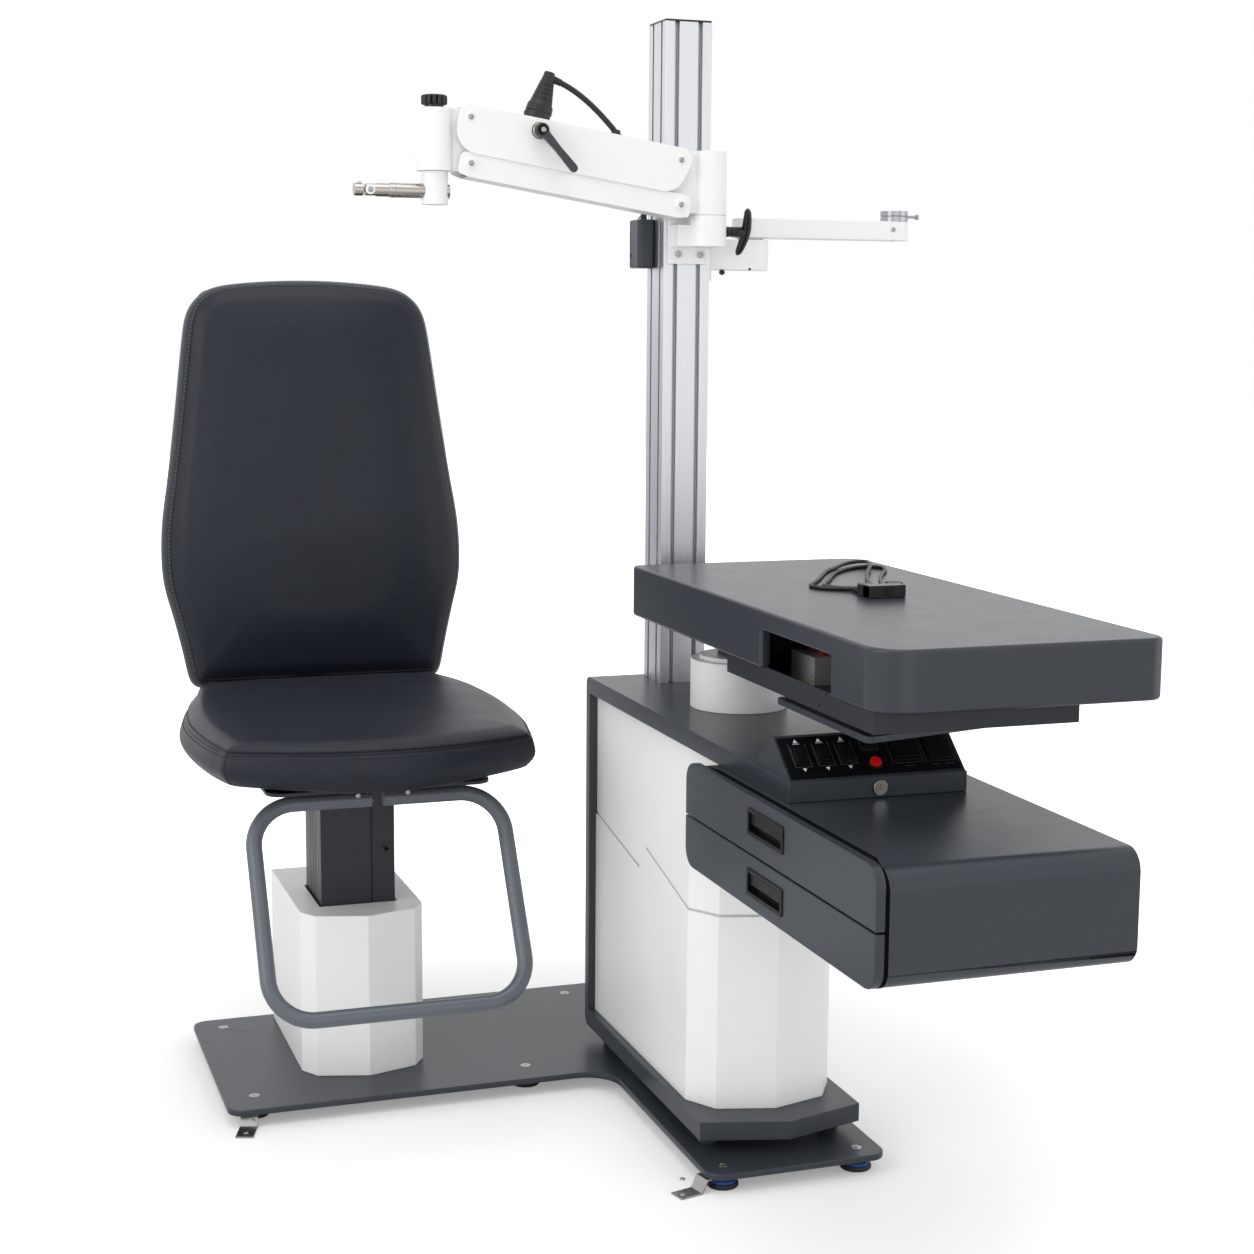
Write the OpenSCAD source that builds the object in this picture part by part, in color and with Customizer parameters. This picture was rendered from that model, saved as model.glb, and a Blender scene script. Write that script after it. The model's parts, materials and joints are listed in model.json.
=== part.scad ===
// Ophthalmic examination chair with its instrument stand on one L-shaped floor plate.
// Millimetres. The origin is on the floor under the rear right levelling foot.
// +X runs from the chair to the stand, +Y to the back, +Z up. The patient faces -Y.

/* [Floor plate] */
// Overall width of the L-shaped floor plate
plate_w = 924; // [900:2:980]
// Overall depth of the L-shaped floor plate
plate_d = 924; // [900:2:980]
// Depth of the arm under the chair
chair_arm_d = 455; // [440:5:480]
// Width of the arm under the stand
stand_arm_w = 290; // [280:2:310]
// Thickness of the floor plate
plate_t = 10; // [8:1:14]
// Height of the plate above the floor
foot_h = 21; // [19:1:28]
// Radius of the outer corners
plate_r = 26; // [10:1:34]
// Radius of the inner corner
plate_inner_r = 58; // [30:1:80]
// Inset of the right feet from the right edge
foot_inset_right = 38; // [34:1:46]
// Inset of the rear feet from the rear edge
foot_inset_rear = 46; // [34:1:56]
// Inset of the left feet from the left edge
foot_inset_left = 49; // [34:1:56]
// Radius of a foot's pad
foot_r = 24; // [18:1:26]
// Height of a foot's pad
foot_pad_h = 13; // [10:1:14]
// Radius of a foot's stud
stud_r = 5; // [4:0.5:6]
// Width of a floor strap
strap_w = 28; // [22:1:34]
// Thickness of a floor strap
strap_t = 2.5; // [2:0.5:4]
// Radius of the screw hole in a floor strap
strap_hole_r = 4; // [3:0.5:5]

/* [Chair column] */
// Distance of the chair's axis from the plate's left edge
chair_from_left = 246; // [236:1:260]
// Distance of the chair's axis from the plate's rear edge
chair_from_rear = 212; // [206:1:220]
// Width of the white column cover
chair_cover_w = 207; // [196:1:220]
// Height of the white column cover
chair_cover_h = 274; // [250:1:290]
// Reach of the cover behind the axis
chair_cover_back = 193; // [180:1:200]
// Reach of the cover's straight sides in front of the axis
chair_cover_side = 93; // [84:1:96]
// Depth of the cover's corner chamfer
chair_cover_chamfer = 33; // [20:1:40]
// Width of the cover's corner chamfer
chair_cover_chamfer_w = 20; // [10:1:30]
// Depth of the cover's blunt point
chair_cover_point = 24; // [10:1:30]
// Width of the moving lift tube
lift_w = 125; // [110:1:130]
// Depth of the moving lift tube
lift_d = 140; // [124:1:146]
// Wall of the moving lift tube
lift_wall = 3.5; // [3:0.5:5]
// Height of the moving tube's top at rest
lift_top = 500; // [470:5:520]
// Lift travel
lift_travel = 150; // [100:5:160]
// Radius of the swivel pin
swivel_pin_r = 15; // [12:0.5:20]

/* [Seat and back] */
// Half width of the seat at its widest
seat_half_w = 281; // [260:1:290]
// Reach of the seat in front of the axis
seat_front = 334; // [320:1:345]
// Reach of the seat behind the axis
seat_rear = 274; // [250:1:276]
// Height of the seat cushion's side wall
seat_side_h = 70; // [50:1:80]
// Crown of the seat cushion above its seam
seat_crown = 24; // [10:1:32]
// Height of the back
back_h = 710; // [600:2:760]
// Half width of the back at its widest
back_half_w = 267; // [240:1:276]
// Thickness of the back cushion's side wall
back_side_t = 58; // [46:1:64]
// Crown of the back cushion
back_crown = 24; // [10:1:32]
// Extra bulge at the small of the back
lumbar = 16; // [0:1:24]
// Lean of the back from upright
back_lean = 5; // [0:0.5:8]
// Thickness of the back shell
back_shell_t = 14; // [10:1:18]

/* [Footrest] */
// Radius of the footrest tube
loop_tube_r = 12.5; // [9:0.5:13]
// Half width of the footrest loop
loop_half_w = 202; // [170:1:215]
// Length of the loop down its slope
loop_len = 346; // [280:2:360]
// Lean of the loop from upright
loop_lean = 32; // [20:1:36]
// Bend radius of the loop's upper corners
loop_top_r = 69; // [50:1:90]
// Bend radius of the loop's lower corners
loop_low_r = 68; // [50:1:90]

/* [Console] */
// Width of the console
console_w = 264; // [258:1:272]
// Distance of the console's middle from the plate's right edge
console_from_right = 144; // [140:1:148]
// Distance of the console's rear face from the plate's rear edge
console_from_rear = 275; // [268:1:282]
// Height of the console's top face
console_top = 672; // [662:1:690]
// Thickness of the console's top
top_t = 28; // [24:1:32]
// Length of the console's top
top_len = 881; // [872:1:890]
// Thickness of the rear bar
rear_bar_t = 20; // [16:1:24]
// Height of the low bar's underside above the plate
low_bar_gap = 22; // [18:1:28]
// Thickness of the low bar
low_bar_t = 29; // [24:1:34]
// Length of the low bar's sides
low_bar_len = 558; // [546:1:566]
// Depth of the low bar's blunt point
low_bar_point = 37; // [24:1:44]
// Sheet thickness of the console frame
frame_wall = 3; // [2:0.5:4]
// Inset of the covers from the console's sides
cover_inset = 14; // [12:1:20]
// Length of the covers' straight sides
cover_side = 451; // [440:1:458]
// Depth of the covers' corner chamfer
cover_chamfer = 51; // [40:1:60]
// Width of the covers' corner chamfer
cover_chamfer_w = 31; // [20:1:40]
// Depth of the covers' blunt point
cover_point = 25; // [15:1:34]
// Wall of the covers
cover_wall = 2.5; // [2:0.5:4]
// How far the lower cover stands proud of the upper one
cover_step = 2; // [1:0.5:3]
// Height of the parting line's upper corners
parting_high = 435; // [410:1:460]
// Height of the parting line's lower corner
parting_low = 395; // [370:1:405]
// Height of the parting line round the front
parting_front = 387; // [360:1:400]

/* [Column] */
// Width of the square column profile
column_w = 80; // [76:1:90]
// Height of the column above the floor, cap included
column_top = 1757; // [1700:1:1900]
// Distance of the column's rear face from the console's rear face
column_from_rear = 31; // [26:1:40]
// Width of a slot's mouth
slot_mouth = 8; // [6:0.5:10]
// Thickness of the column's cap
cap_t = 3; // [2:0.5:5]

/* [Table] */
// Width of the table top
table_w = 405; // [376:1:410]
// Length of the table top
table_len = 925; // [900:5:940]
// Height of the table's top face
table_top_z = 885; // [880:1:900]
// Height of the table's edge
table_edge_h = 81; // [76:1:88]
// Thickness of the table's board and walls
table_wall = 16; // [14:1:20]
// Radius of the table's corners
table_r = 50; // [20:1:60]
// Length of the cut-out in the table's edge
cutout_len = 232; // [180:2:250]
// Height of the cut-out
cutout_h = 53; // [40:1:56]
// Width of the slide tray
tray_w = 289; // [270:1:300]
// Length of the slide tray
tray_len = 490; // [440:2:500]
// Sheet thickness of the slide tray
tray_wall = 2.5; // [2:0.5:4]
// Height of the slide rails
rail_h = 10; // [8:0.5:11]
// Thickness of the swing arm's plate
swing_t = 9; // [7:0.5:10]
// Radius of the pivot drum
drum_r = 77; // [70:1:84]
// Height of the pivot drum
drum_h = 77; // [72:1:79]
// Radius of the table's swing shaft
swing_shaft_r = 20; // [16:0.5:26]
// Travel of the table along its rails
table_travel = 120; // [60:5:130]

/* [Controls] */
// Height of the control wedge
wedge_h = 51; // [46:1:56]
// Depth of the control wedge
wedge_d = 124; // [112:1:130]
// Depth of the wedge's sloping face
wedge_slope_d = 61; // [56:1:68]
// Width of the control wedge
wedge_w = 262; // [256:1:264]
// Thickness of the control panel
panel_t = 3; // [2:0.5:4]
// Width of a tall rocker
rocker_w = 15; // [12:0.5:17]
// Length of a tall rocker
rocker_len = 24; // [20:0.5:28]
// Size of the square rocker
square_w = 34; // [28:0.5:36]
// Radius of the red button
button_r = 8; // [6:0.5:9]
// Travel of the red button
button_travel = 2; // [1:0.5:2.5]
// Radius of the key lock's barrel
lock_r = 9; // [7:0.5:10]

/* [Drawers] */
// Depth of the drawer case along X
case_w = 340; // [320:2:370]
// Length of the drawer case along Y
case_len = 635; // [600:1:650]
// Height of the drawer case
case_h = 148.5; // [140:0.5:160]
// Corner radius of the drawer case
case_r = 28; // [16:1:34]
// Sheet thickness of the case and drawers
case_wall = 2; // [1.5:0.5:3]
// Thickness of a drawer's front
front_t = 13; // [10:1:18]
// Gap between the two fronts
front_gap = 2.5; // [1.5:0.5:4]
// Length of a drawer pull
pull_len = 122; // [90:1:130]
// Height of a drawer pull
pull_h = 38; // [26:1:40]

/* [Refractor arm] */
// Height of the seam between the fixed and the turning hub
hub_seam_z = 1445; // [1430:1:1460]
// Radius of the hub
hub_r = 30; // [27:0.5:31]
// Length of the links between their pivots
link_len = 350; // [300:1:400]
// Distance between the upper and the lower link
link_gap = 70; // [66:1:74]
// Rise of the links towards the tip at rest
link_rise = 9; // [0:0.5:10]
// Width of the upper link
link_w = 56; // [54:1:58]
// Wall of the links
link_wall = 2; // [1.5:0.5:3]
// Radius of the link pins
link_pin_r = 4; // [3:0.5:5]
// Radius of the arm's end block
end_r = 29; // [26:0.5:31]
// Radius of the spindle
spindle_r = 20.5; // [18:0.5:24]
// Radius of the holder rod
rod_r = 11; // [9:0.5:12]
// Radius of the rod tip
tip_r = 9.5; // [8:0.5:10]

/* [Projector arm] */
// Distance of the projector arm's pivot from the column's side
projector_pivot = 88; // [76:1:96]
// Length of the projector arm between pivot and ring
projector_len = 265; // [200:1:320]
// Half width of the projector arm at its pivot
projector_r = 30.5; // [26:0.5:32]
// Thickness of the projector arm
projector_t = 32; // [26:1:36]
// Height of the projector bracket's underside
projector_z = 1360; // [1340:1:1366]
// Height of the projector bracket
projector_block_h = 50; // [40:1:54]
// Bore radius of the projector ring
ring_bore_r = 19; // [16:0.5:21]

/* [Lead] */
// Diameter of the loose lead
lead_d = 6; // [5:0.5:7]

/* [Hidden] */
$fn = 48;
// Overrun of a cut past the face it opens
over = 1;
// Gap between faces of pieces that move on each other
gap = 0.3;
// Radial clearance of a shaft in its bore
fit = 0.05;
dark = [0.27, 0.29, 0.32];
white = [0.93, 0.93, 0.92];
black = [0.08, 0.08, 0.09];
steel = [0.72, 0.72, 0.72];

// Floor plate, worked out from the foot under the origin
plate_right = foot_inset_right;
plate_rear = foot_inset_rear;
plate_left = plate_right - plate_w;
plate_front = plate_rear - plate_d;
chair_arm_front = plate_rear - chair_arm_d;
stand_arm_left = plate_right - stand_arm_w;
plate_top = foot_h + plate_t;
// Insets of the front feet, and places of the two middle feet along the chair arm
front_foot_inset = 36;
chair_foot_inset = 62;
middle_foot_share = 0.547;
rear_foot_share = 0.738;
stand_foot_inset = 34;
feet_x = [0, plate_left + plate_w * rear_foot_share, plate_left + foot_inset_left,
    plate_left + foot_inset_left, plate_left + plate_w * middle_foot_share,
    stand_arm_left + stand_foot_inset, 0];
feet_y = [0, 0, 0, chair_arm_front + chair_foot_inset, chair_arm_front + chair_foot_inset,
    plate_front + front_foot_inset, plate_front + front_foot_inset];
strapped_feet = [3, 5];
strap_angle = [252, 195];
// Along a strap: end of the flat under the plate, start of the floor tab, its hole, and its end
strap_flat = [47, 36];
strap_land = [60, 48];
strap_hole = [86, 74];
strap_end = [103, 84];
lock_nut_r = 9;

// Chair
chair_x = plate_left + chair_from_left;
chair_y = plate_rear - chair_from_rear;
sheet = 2.5;
tube_clear = 0.4;
outer_wall = 3;
outer_top_gap = 20;
lift_bottom = plate_top + 29;
head_t = 8;
hub_top = lift_top + head_t + 32;
seat_plate_t = 6;
seat_z = hub_top + seat_plate_t + gap;
seat_seam_z = seat_z + seat_side_h;
rod_tube_r = 22;
drive_tube_r = rod_tube_r + 6;
drive_w = 96;
drive_d = 70;
drive_h = 120;
// Footrest: top bar under the front of the seat
loop_y = chair_y - 226;
loop_saddle = 8;
loop_z = hub_top - loop_saddle - loop_tube_r;
loop_end_gap = 20;
// Back: its frame's origin is in the middle of the cushion's lower edge, at the band's rear
back_y = chair_y + 300;
back_drop = 9;
back_z = seat_seam_z + seat_crown - back_drop;
bracket_w = 70;
bracket_t = 8;
bracket_rise = 180;
bracket_foot = 160;

// Console
console_x = plate_right - console_from_right;
console_rear = plate_rear - console_from_rear;
console_front = console_rear - top_len;
top_under = console_top - top_t;
low_bar_z = plate_top + low_bar_gap;
low_bar_top = low_bar_z + low_bar_t;
cover_rear = console_rear - rear_bar_t;
cover_half = console_w / 2 - cover_inset;
standoff_r = 16;
column_x = console_x + 2;
column_y = console_rear - column_from_rear - column_w / 2;
column_face = column_y - column_w / 2;

// Table
drum_x = console_x + 14;
drum_y = column_face - 226;
hub_disc_h = 6;
swing_z = console_top + drum_h + hub_disc_h;
rail_z = swing_z + swing_t;
tray_z = rail_z + rail_h + gap;
table_z = table_top_z - table_edge_h;
tray_x = drum_x + 22;
tray_rear = drum_y - 256;
table_x = drum_x + 69;
table_rear = column_face - 85;
cutout_from_rear = 547;
cutout_rear = table_rear - cutout_from_rear;

// Controls: the sloping face's frame starts at its lower front edge
wedge_front = console_front + 3;
slope = atan(wedge_h / wedge_slope_d);
slope_len = norm([wedge_h, wedge_slope_d]);
panel_margin = 4;
row_y = slope_len * 0.55;
rocker_x = [-101.5, -67.5, -34.5];
button_x = 3;
square_x = 52;
double_x = 102;
pivot_depth = 4;
rocker_gap = 0.7;
bezel = 3;
bezel_h = 1.5;

// Drawers
case_left = console_x - 156;
case_top = top_under - gap;
case_bottom = case_top - case_h;
case_overhang = 352;
case_front = console_front - case_overhang;
case_mid_y = case_front + case_len / 2;
split_z = case_bottom + case_h / 2;
drawer_side_gap = 13;
pull_from_mid = 18;
pull_y = case_mid_y + pull_from_mid;
pull_up = [0, 5];
front_rise = 5;

// Refractor arm
arm_x = column_x + 21;
bracket_plate_t = 8;
arm_y = column_face - 40;
pivot_x = arm_x - 57;
low_pivot_z = hub_seam_z + 15;
high_pivot_z = low_pivot_z + link_gap;
end_x = pivot_x - link_len * cos(link_rise);
end_low_z = low_pivot_z + link_len * sin(link_rise);
end_high_z = end_low_z + link_gap;
end_axis_x = end_x - 51;
tongue_t = 30;
tongue_r = 14;
hub_pin_r = 12;
end_bottom = end_low_z - 12;
end_top = end_high_z + 13;
spindle_bottom = end_bottom - 51;
spindle_shaft_r = 15;
rod_z = spindle_bottom + 20.5;
rod_neck_x = end_axis_x - 71;
tip_pivot_x = end_axis_x - 103;

// Projector arm
projector_x = column_x + column_w / 2 + projector_pivot;
projector_arm_z = projector_z + projector_block_h + 3.6;
ring_x = projector_x + projector_len;
projector_pin_r = 10;

// Route of the loose lead's centre line on the table, from the plug to the socket
lead_route = [[-21, -837, 889.5], [-21, -831, 889.5], [-24, -824, 889], [-31, -818, 888.5],
    [-42, -811, 888], [-57, -797, 888], [-61, -769, 888], [-43, -740, 888], [-19, -702, 888],
    [9, -654, 888], [37, -609, 888], [68, -573, 888], [93, -550, 890], [115, -546, 893], [127, -560, 895],
    [122, -585, 895], [108, -616, 893], [85, -656, 890], [63, -702, 888], [45, -745, 888], [32, -780, 888],
    [15, -808, 888], [-10, -815, 888], [-33, -802, 888], [-42, -779, 888], [-32, -754, 888],
    [-9, -718, 888], [17, -672, 888], [45, -629, 888], [75, -596, 888], [106, -575, 888], [132, -573, 888],
    [142, -592, 888], [132, -623, 888], [106, -665, 888], [79, -715, 888], [57, -765, 888],
    [43, -804, 888], [34, -829, 888], [34, -837, 888]];
// Route of the arm's cable in the link's frame, from the plug's elbow to its gland, past the lever's pin
arm_cable_route = [[-10, 0, 86], [-23, 0, 84], [-42, 0, 79], [-62, 0, 71], [-82, 0, 60.5], [-101, 0, 48.5],
    [-117, 0, 37], [-128, 0, 28.5], [-133, 0, 22.5]];
arm_cable_r = 6;

// Rounded corner between three points, as an arc of n steps
function unit(v) = v / norm(v);
function corner(a, b, c, r, n) = r <= 0 ? [b] : let (
    u = unit(a - b), w = unit(c - b), half = acos(u * w) / 2, d = r / tan(half),
    s = b + u * d, e = b + w * d, m = b + unit(u + w) * r / sin(half),
    a0 = atan2(s.y - m.y, s.x - m.x), a1 = atan2(e.y - m.y, e.x - m.x),
    turn = a1 - a0 > 180 ? a1 - a0 - 360 : a1 - a0 < -180 ? a1 - a0 + 360 : a1 - a0)
    [for (i = [0:n]) m + r * [cos(a0 + turn * i / n), sin(a0 + turn * i / n)]];
// Outline with each corner rounded by its own radius
function rounded(p, r, n = 6) = [for (i = [0:len(p) - 1])
    each corner(p[(i + len(p) - 1) % len(p)], p[i], p[(i + 1) % len(p)], r[i], n)];
function box_outline(x0, y0, x1, y1) = [[x0, y0], [x1, y0], [x1, y1], [x0, y1]];
// Smooth curve through a table of values, at a position t from 0 to 1
function clamped(t, i) = t[max(0, min(len(t) - 1, i))];
function spline(t, s) = let (
    k = s * (len(t) - 1), i = floor(min(k, len(t) - 1.001)), f = k - i,
    a = clamped(t, i - 1), b = clamped(t, i), c = clamped(t, i + 1), d = clamped(t, i + 2))
    b + f * ((c - a) / 2 + f * ((a - 2.5 * b + 2 * c - d / 2) + f * (1.5 * (b - c) + (d - a) / 2)));
function mirrored(half) = concat(half, [for (i = [len(half) - 1:-1:0]) [-half[i].x, half[i].y]]);

module bar(x0, x1, y0, y1, z0, z1) {
    translate([x0, y0, z0]) cube([x1 - x0, y1 - y0, z1 - z0]);
}

module prism(points, z0, z1) {
    translate([0, 0, z0]) linear_extrude(z1 - z0) polygon(points);
}

// Outline in Y and Z, extruded along X
module prism_x(points, x0, x1) {
    translate([x0, 0, 0]) rotate([90, 0, 90]) linear_extrude(x1 - x0) polygon(points);
}

// Outline in X and Z, extruded along Y from y0 to y1
module prism_y(points, y0, y1) {
    translate([0, y1, 0]) rotate([90, 0, 0]) linear_extrude(y1 - y0) polygon(points);
}

module rod_x(r, x0, x1) {
    translate([x0, 0, 0]) rotate([0, 90, 0]) cylinder(r = r, h = x1 - x0);
}

module rod_y(r, y0, y1) {
    translate([0, y0, 0]) rotate([-90, 0, 0]) cylinder(r = r, h = y1 - y0);
}

// Ring of points square to a route at point i
function tangent(p, i) = unit(p[min(i + 1, len(p) - 1)] - p[max(i - 1, 0)]);
function ring_points(p, i, r, sides) = let (
    t = tangent(p, i), side = unit(cross(t, abs(t.z) < 0.9 ? [0, 0, 1] : [0, 1, 0])), up = cross(side, t))
    [for (j = [0:sides - 1]) p[i] + r * (side * cos(360 * j / sides) + up * sin(360 * j / sides))];
function tube_faces(rings, sides) = concat(
    [[for (j = [sides - 1:-1:0]) j]],
    [for (i = [0:rings - 2], j = [0:sides - 1])
        each let (a = i * sides + j, b = i * sides + (j + 1) % sides)
        [[a, b, a + sides], [b, b + sides, a + sides]]],
    [[for (j = [0:sides - 1]) (rings - 1) * sides + j]]);

// Tube swept along a route
module swept_tube(route, r, sides) {
    polyhedron([for (i = [0:len(route) - 1]) each ring_points(route, i, r, sides)],
        tube_faces(len(route), sides));
}

// Closed form from rings of points, with a fan of faces to a point at each end
function form_faces(rings, n) = concat(
    [for (j = [0:n - 1]) [0, 1 + j, 1 + (j + 1) % n]],
    [for (i = [0:rings - 2], j = [0:n - 1])
        each let (a = 1 + i * n + j, b = 1 + i * n + (j + 1) % n) [[a, a + n, b], [b, a + n, b + n]]],
    [for (j = [0:n - 1])
        let (a = 1 + (rings - 1) * n) [a + (j + 1) % n, a + j, 1 + rings * n]]);

function plate_outline() = rounded(
    [[plate_left, chair_arm_front], [stand_arm_left, chair_arm_front], [stand_arm_left, plate_front],
        [plate_right, plate_front], [plate_right, plate_rear], [plate_left, plate_rear]],
    [plate_r, plate_inner_r, plate_r, plate_r, plate_r, plate_r], 10);

module base_plate() {
    color(dark) difference() {
        prism(plate_outline(), foot_h, plate_top);
        for (i = [0:len(feet_x) - 1])
            translate([feet_x[i], feet_y[i], foot_h - over])
                cylinder(r = stud_r + fit, h = plate_t + 2 * over);
    }
}

module levelling_feet() {
    pad_waist = foot_r * 0.82;
    color(black) for (i = [0:len(feet_x) - 1]) translate([feet_x[i], feet_y[i], 0]) {
        strapped = len(search(i, strapped_feet)) > 0;
        cylinder(r = foot_r, h = foot_pad_h / 2);
        translate([0, 0, foot_pad_h / 2]) cylinder(r1 = foot_r, r2 = pad_waist, h = foot_pad_h / 2);
        cylinder(r = lock_nut_r, h = foot_h - (strapped ? strap_t : 0));
        cylinder(r = stud_r, h = plate_top);
    }
}

module floor_strap(i) {
    f = strapped_feet[i];
    under = foot_h - strap_t;
    profile = [[-lock_nut_r, under], [strap_flat[i], under], [strap_land[i] - strap_t, 0], [strap_end[i], 0],
        [strap_end[i], strap_t], [strap_land[i], strap_t], [strap_flat[i] + strap_t, foot_h],
        [-lock_nut_r, foot_h]];
    translate([feet_x[f], feet_y[f], 0]) rotate([0, 0, strap_angle[i]]) difference() {
        prism_y(profile, -strap_w / 2, strap_w / 2);
        cylinder(r = stud_r + fit, h = foot_h + over);
        translate([strap_hole[i], 0, -over]) cylinder(r = strap_hole_r, h = strap_t + 2 * over);
    }
}

module floor_straps() {
    color(steel) for (i = [0:1]) floor_strap(i);
}

// Outline of a faceted cover: straight sides, chamfered corners and a blunt point in front
function faceted(half, rear, side, chamfer, chamfer_w, point) = [
    [-half, rear], [-half, rear - side], [chamfer_w - half, rear - side - chamfer],
    [0, rear - side - chamfer - point], [half - chamfer_w, rear - side - chamfer],
    [half, rear - side], [half, rear]];

module chair_cover() {
    half = chair_cover_w / 2;
    side = chair_cover_back + chair_cover_side;
    hole_w = lift_w / 2 + 3;
    hole_d = lift_d / 2 + 3;
    color(white) translate([chair_x, chair_y, 0]) difference() {
        prism(faceted(half, chair_cover_back, side, chair_cover_chamfer, chair_cover_chamfer_w,
            chair_cover_point), plate_top, plate_top + chair_cover_h);
        prism(faceted(half - sheet, chair_cover_back - sheet, side - 2 * sheet, chair_cover_chamfer,
            chair_cover_chamfer_w, chair_cover_point), plate_top - over, plate_top + chair_cover_h - sheet);
        bar(-hole_w, hole_w, -hole_d, hole_d, plate_top + chair_cover_h - sheet - over,
            plate_top + chair_cover_h + over);
    }
}

module lift_outer_tube() {
    in_w = lift_w / 2 + tube_clear;
    in_d = lift_d / 2 + tube_clear;
    flange = 18;
    flange_t = 8;
    top = plate_top + chair_cover_h - outer_top_gap;
    color(steel) translate([chair_x, chair_y, 0]) difference() {
        union() {
            bar(-in_w - outer_wall, in_w + outer_wall, -in_d - outer_wall, in_d + outer_wall, plate_top, top);
            bar(-in_w - flange, in_w + flange, -in_d - flange, in_d + flange, plate_top, plate_top + flange_t);
        }
        bar(-in_w, in_w, -in_d, in_d, plate_top - over, top + over);
    }
}

// Motor, gearbox and the fixed screw tube of the lift
module lift_drive() {
    tube_top = lift_bottom + 280;
    floor_t = 6;
    motor_r = 18;
    motor_h = 90;
    motor_y = 47;
    color([0.3, 0.3, 0.3]) translate([chair_x, chair_y, 0]) {
        translate([0, 0, plate_top]) cylinder(r = drive_tube_r, h = floor_t);
        translate([0, 0, plate_top]) difference() {
            cylinder(r = drive_tube_r, h = tube_top - plate_top);
            translate([0, 0, floor_t]) cylinder(r = rod_tube_r + fit, h = tube_top - plate_top);
        }
        translate([0, motor_y, plate_top]) cylinder(r = motor_r, h = motor_h);
        bar(-motor_r, motor_r, 0, motor_y, plate_top, plate_top + floor_t);
    }
}

// Moving tube with its grooves, the push rod inside it, the head plate and the swivel pin
module lift_inner_tube() {
    half_w = lift_w / 2;
    half_d = lift_d / 2;
    groove = 1.2;
    groove_w = 2;
    groove_pitch = 22;
    rod_bottom = lift_bottom + 20;
    head_over = 12;
    color(dark) translate([chair_x, chair_y, 0]) {
        difference() {
            bar(-half_w, half_w, -half_d, half_d, lift_bottom, lift_top);
            bar(lift_wall - half_w, half_w - lift_wall, lift_wall - half_d, half_d - lift_wall,
                lift_bottom - over, lift_top + over);
            for (s = [-1, 1], i = [-1:1])
                bar(s * half_w - groove, s * half_w + groove, i * groove_pitch - groove_w / 2,
                    i * groove_pitch + groove_w / 2, lift_bottom - over, lift_top + over);
            bar(lift_w * 0.18, lift_w * 0.18 + groove_w, -half_d - over, groove - half_d,
                lift_bottom - over, lift_top + over);
        }
        bar(-half_w - head_over, half_w + head_over, -half_d - head_over, half_d + head_over,
            lift_top, lift_top + head_t);
        translate([0, 0, rod_bottom]) cylinder(r = rod_tube_r, h = lift_top + over - rod_bottom);
        translate([0, 0, lift_top]) cylinder(r = swivel_pin_r, h = hub_top + seat_plate_t - lift_top);
    }
}

// Seat plate with its swivel hub and the two saddles for the footrest
module seat_frame() {
    hub_r2 = 46;
    half = 180;
    front = seat_front - 70;
    rear = seat_rear - 60;
    saddle_half = 22;
    saddle_from = loop_end_gap / 2 + 4;
    color(dark) translate([chair_x, chair_y, 0]) difference() {
        union() {
            prism(rounded(box_outline(-half, -front, half, rear), [plate_r, plate_r, plate_r, plate_r]),
                hub_top, hub_top + seat_plate_t);
            translate([0, 0, lift_top + head_t + gap])
                cylinder(r = hub_r2, h = hub_top - lift_top - head_t);
            for (s = [-1, 1])
                translate([s * (saddle_from + saddle_half), loop_y - chair_y, loop_z])
                    bar(-saddle_half, saddle_half, -loop_tube_r, loop_tube_r, loop_tube_r + gap / 2,
                        hub_top - loop_z + over);
        }
        translate([0, 0, lift_top]) cylinder(r = swivel_pin_r + fit, h = hub_top);
    }
}

// Half widths of the seat from its front corner to its rear, as shares of the widest
seat_shares = [0.862, 0.93, 0.97, 0.995, 1, 0.985, 0.95, 0.9, 0.83, 0.8];
// Where the front corners lie, as a share of the reach in front of the axis
seat_corner_share = 0.82;
seat_steps = 22;
front_steps = 14;
function seat_side(i) = let (s = i / seat_steps)
    [seat_half_w * spline(seat_shares, s), -seat_front * seat_corner_share * (1 - s) + seat_rear * s];
function seat_front_point(i) = let (u = -1 + 2 * i / front_steps)
    [seat_half_w * seat_shares[0] * u * (1 - 0.03 * u * u),
        -seat_front + seat_front * (1 - seat_corner_share) * u * u];
function seat_outline() = concat(
    [for (i = [1:front_steps - 1]) seat_front_point(i)],
    [for (i = [0:seat_steps]) seat_side(i)],
    [for (i = [seat_steps:-1:0]) [-seat_side(i).x, seat_side(i).y]]);
function shrunk(p, centre, inset) = [for (q = p) let (d = q - centre) centre + d * (1 - inset / norm(d))];
function scaled(p, centre, k) = [for (q = p) centre + (q - centre) * k];

module seat_cushion() {
    outline = seat_outline();
    n = len(outline);
    centre = [0, -30];
    // Height shares up the side wall and how far the wall is drawn in at each
    side_shares = [[0, 0.5], [0.12, 0.14], [0.45, -0.05], [0.85, 0], [1, 0.08]];
    draw_in = 26;
    crown_shares = [0.95, 0.86, 0.72, 0.52, 0.28];
    rings = concat(
        [for (s = side_shares) [for (q = shrunk(outline, centre, s[1] * draw_in))
            [q.x, q.y, seat_side_h * s[0]]]],
        [for (k = crown_shares) [for (q = scaled(shrunk(outline, centre, draw_in / 12), centre, k))
            [q.x, q.y, seat_side_h + seat_crown * pow(1 - k * k, 0.6)]]]);
    color(black) translate([chair_x, chair_y, seat_z])
        polyhedron(concat([[centre.x, centre.y, 0]], [for (r = rings) each r],
            [[centre.x, centre.y, seat_side_h + seat_crown]]), form_faces(len(rings), n));
}

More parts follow.
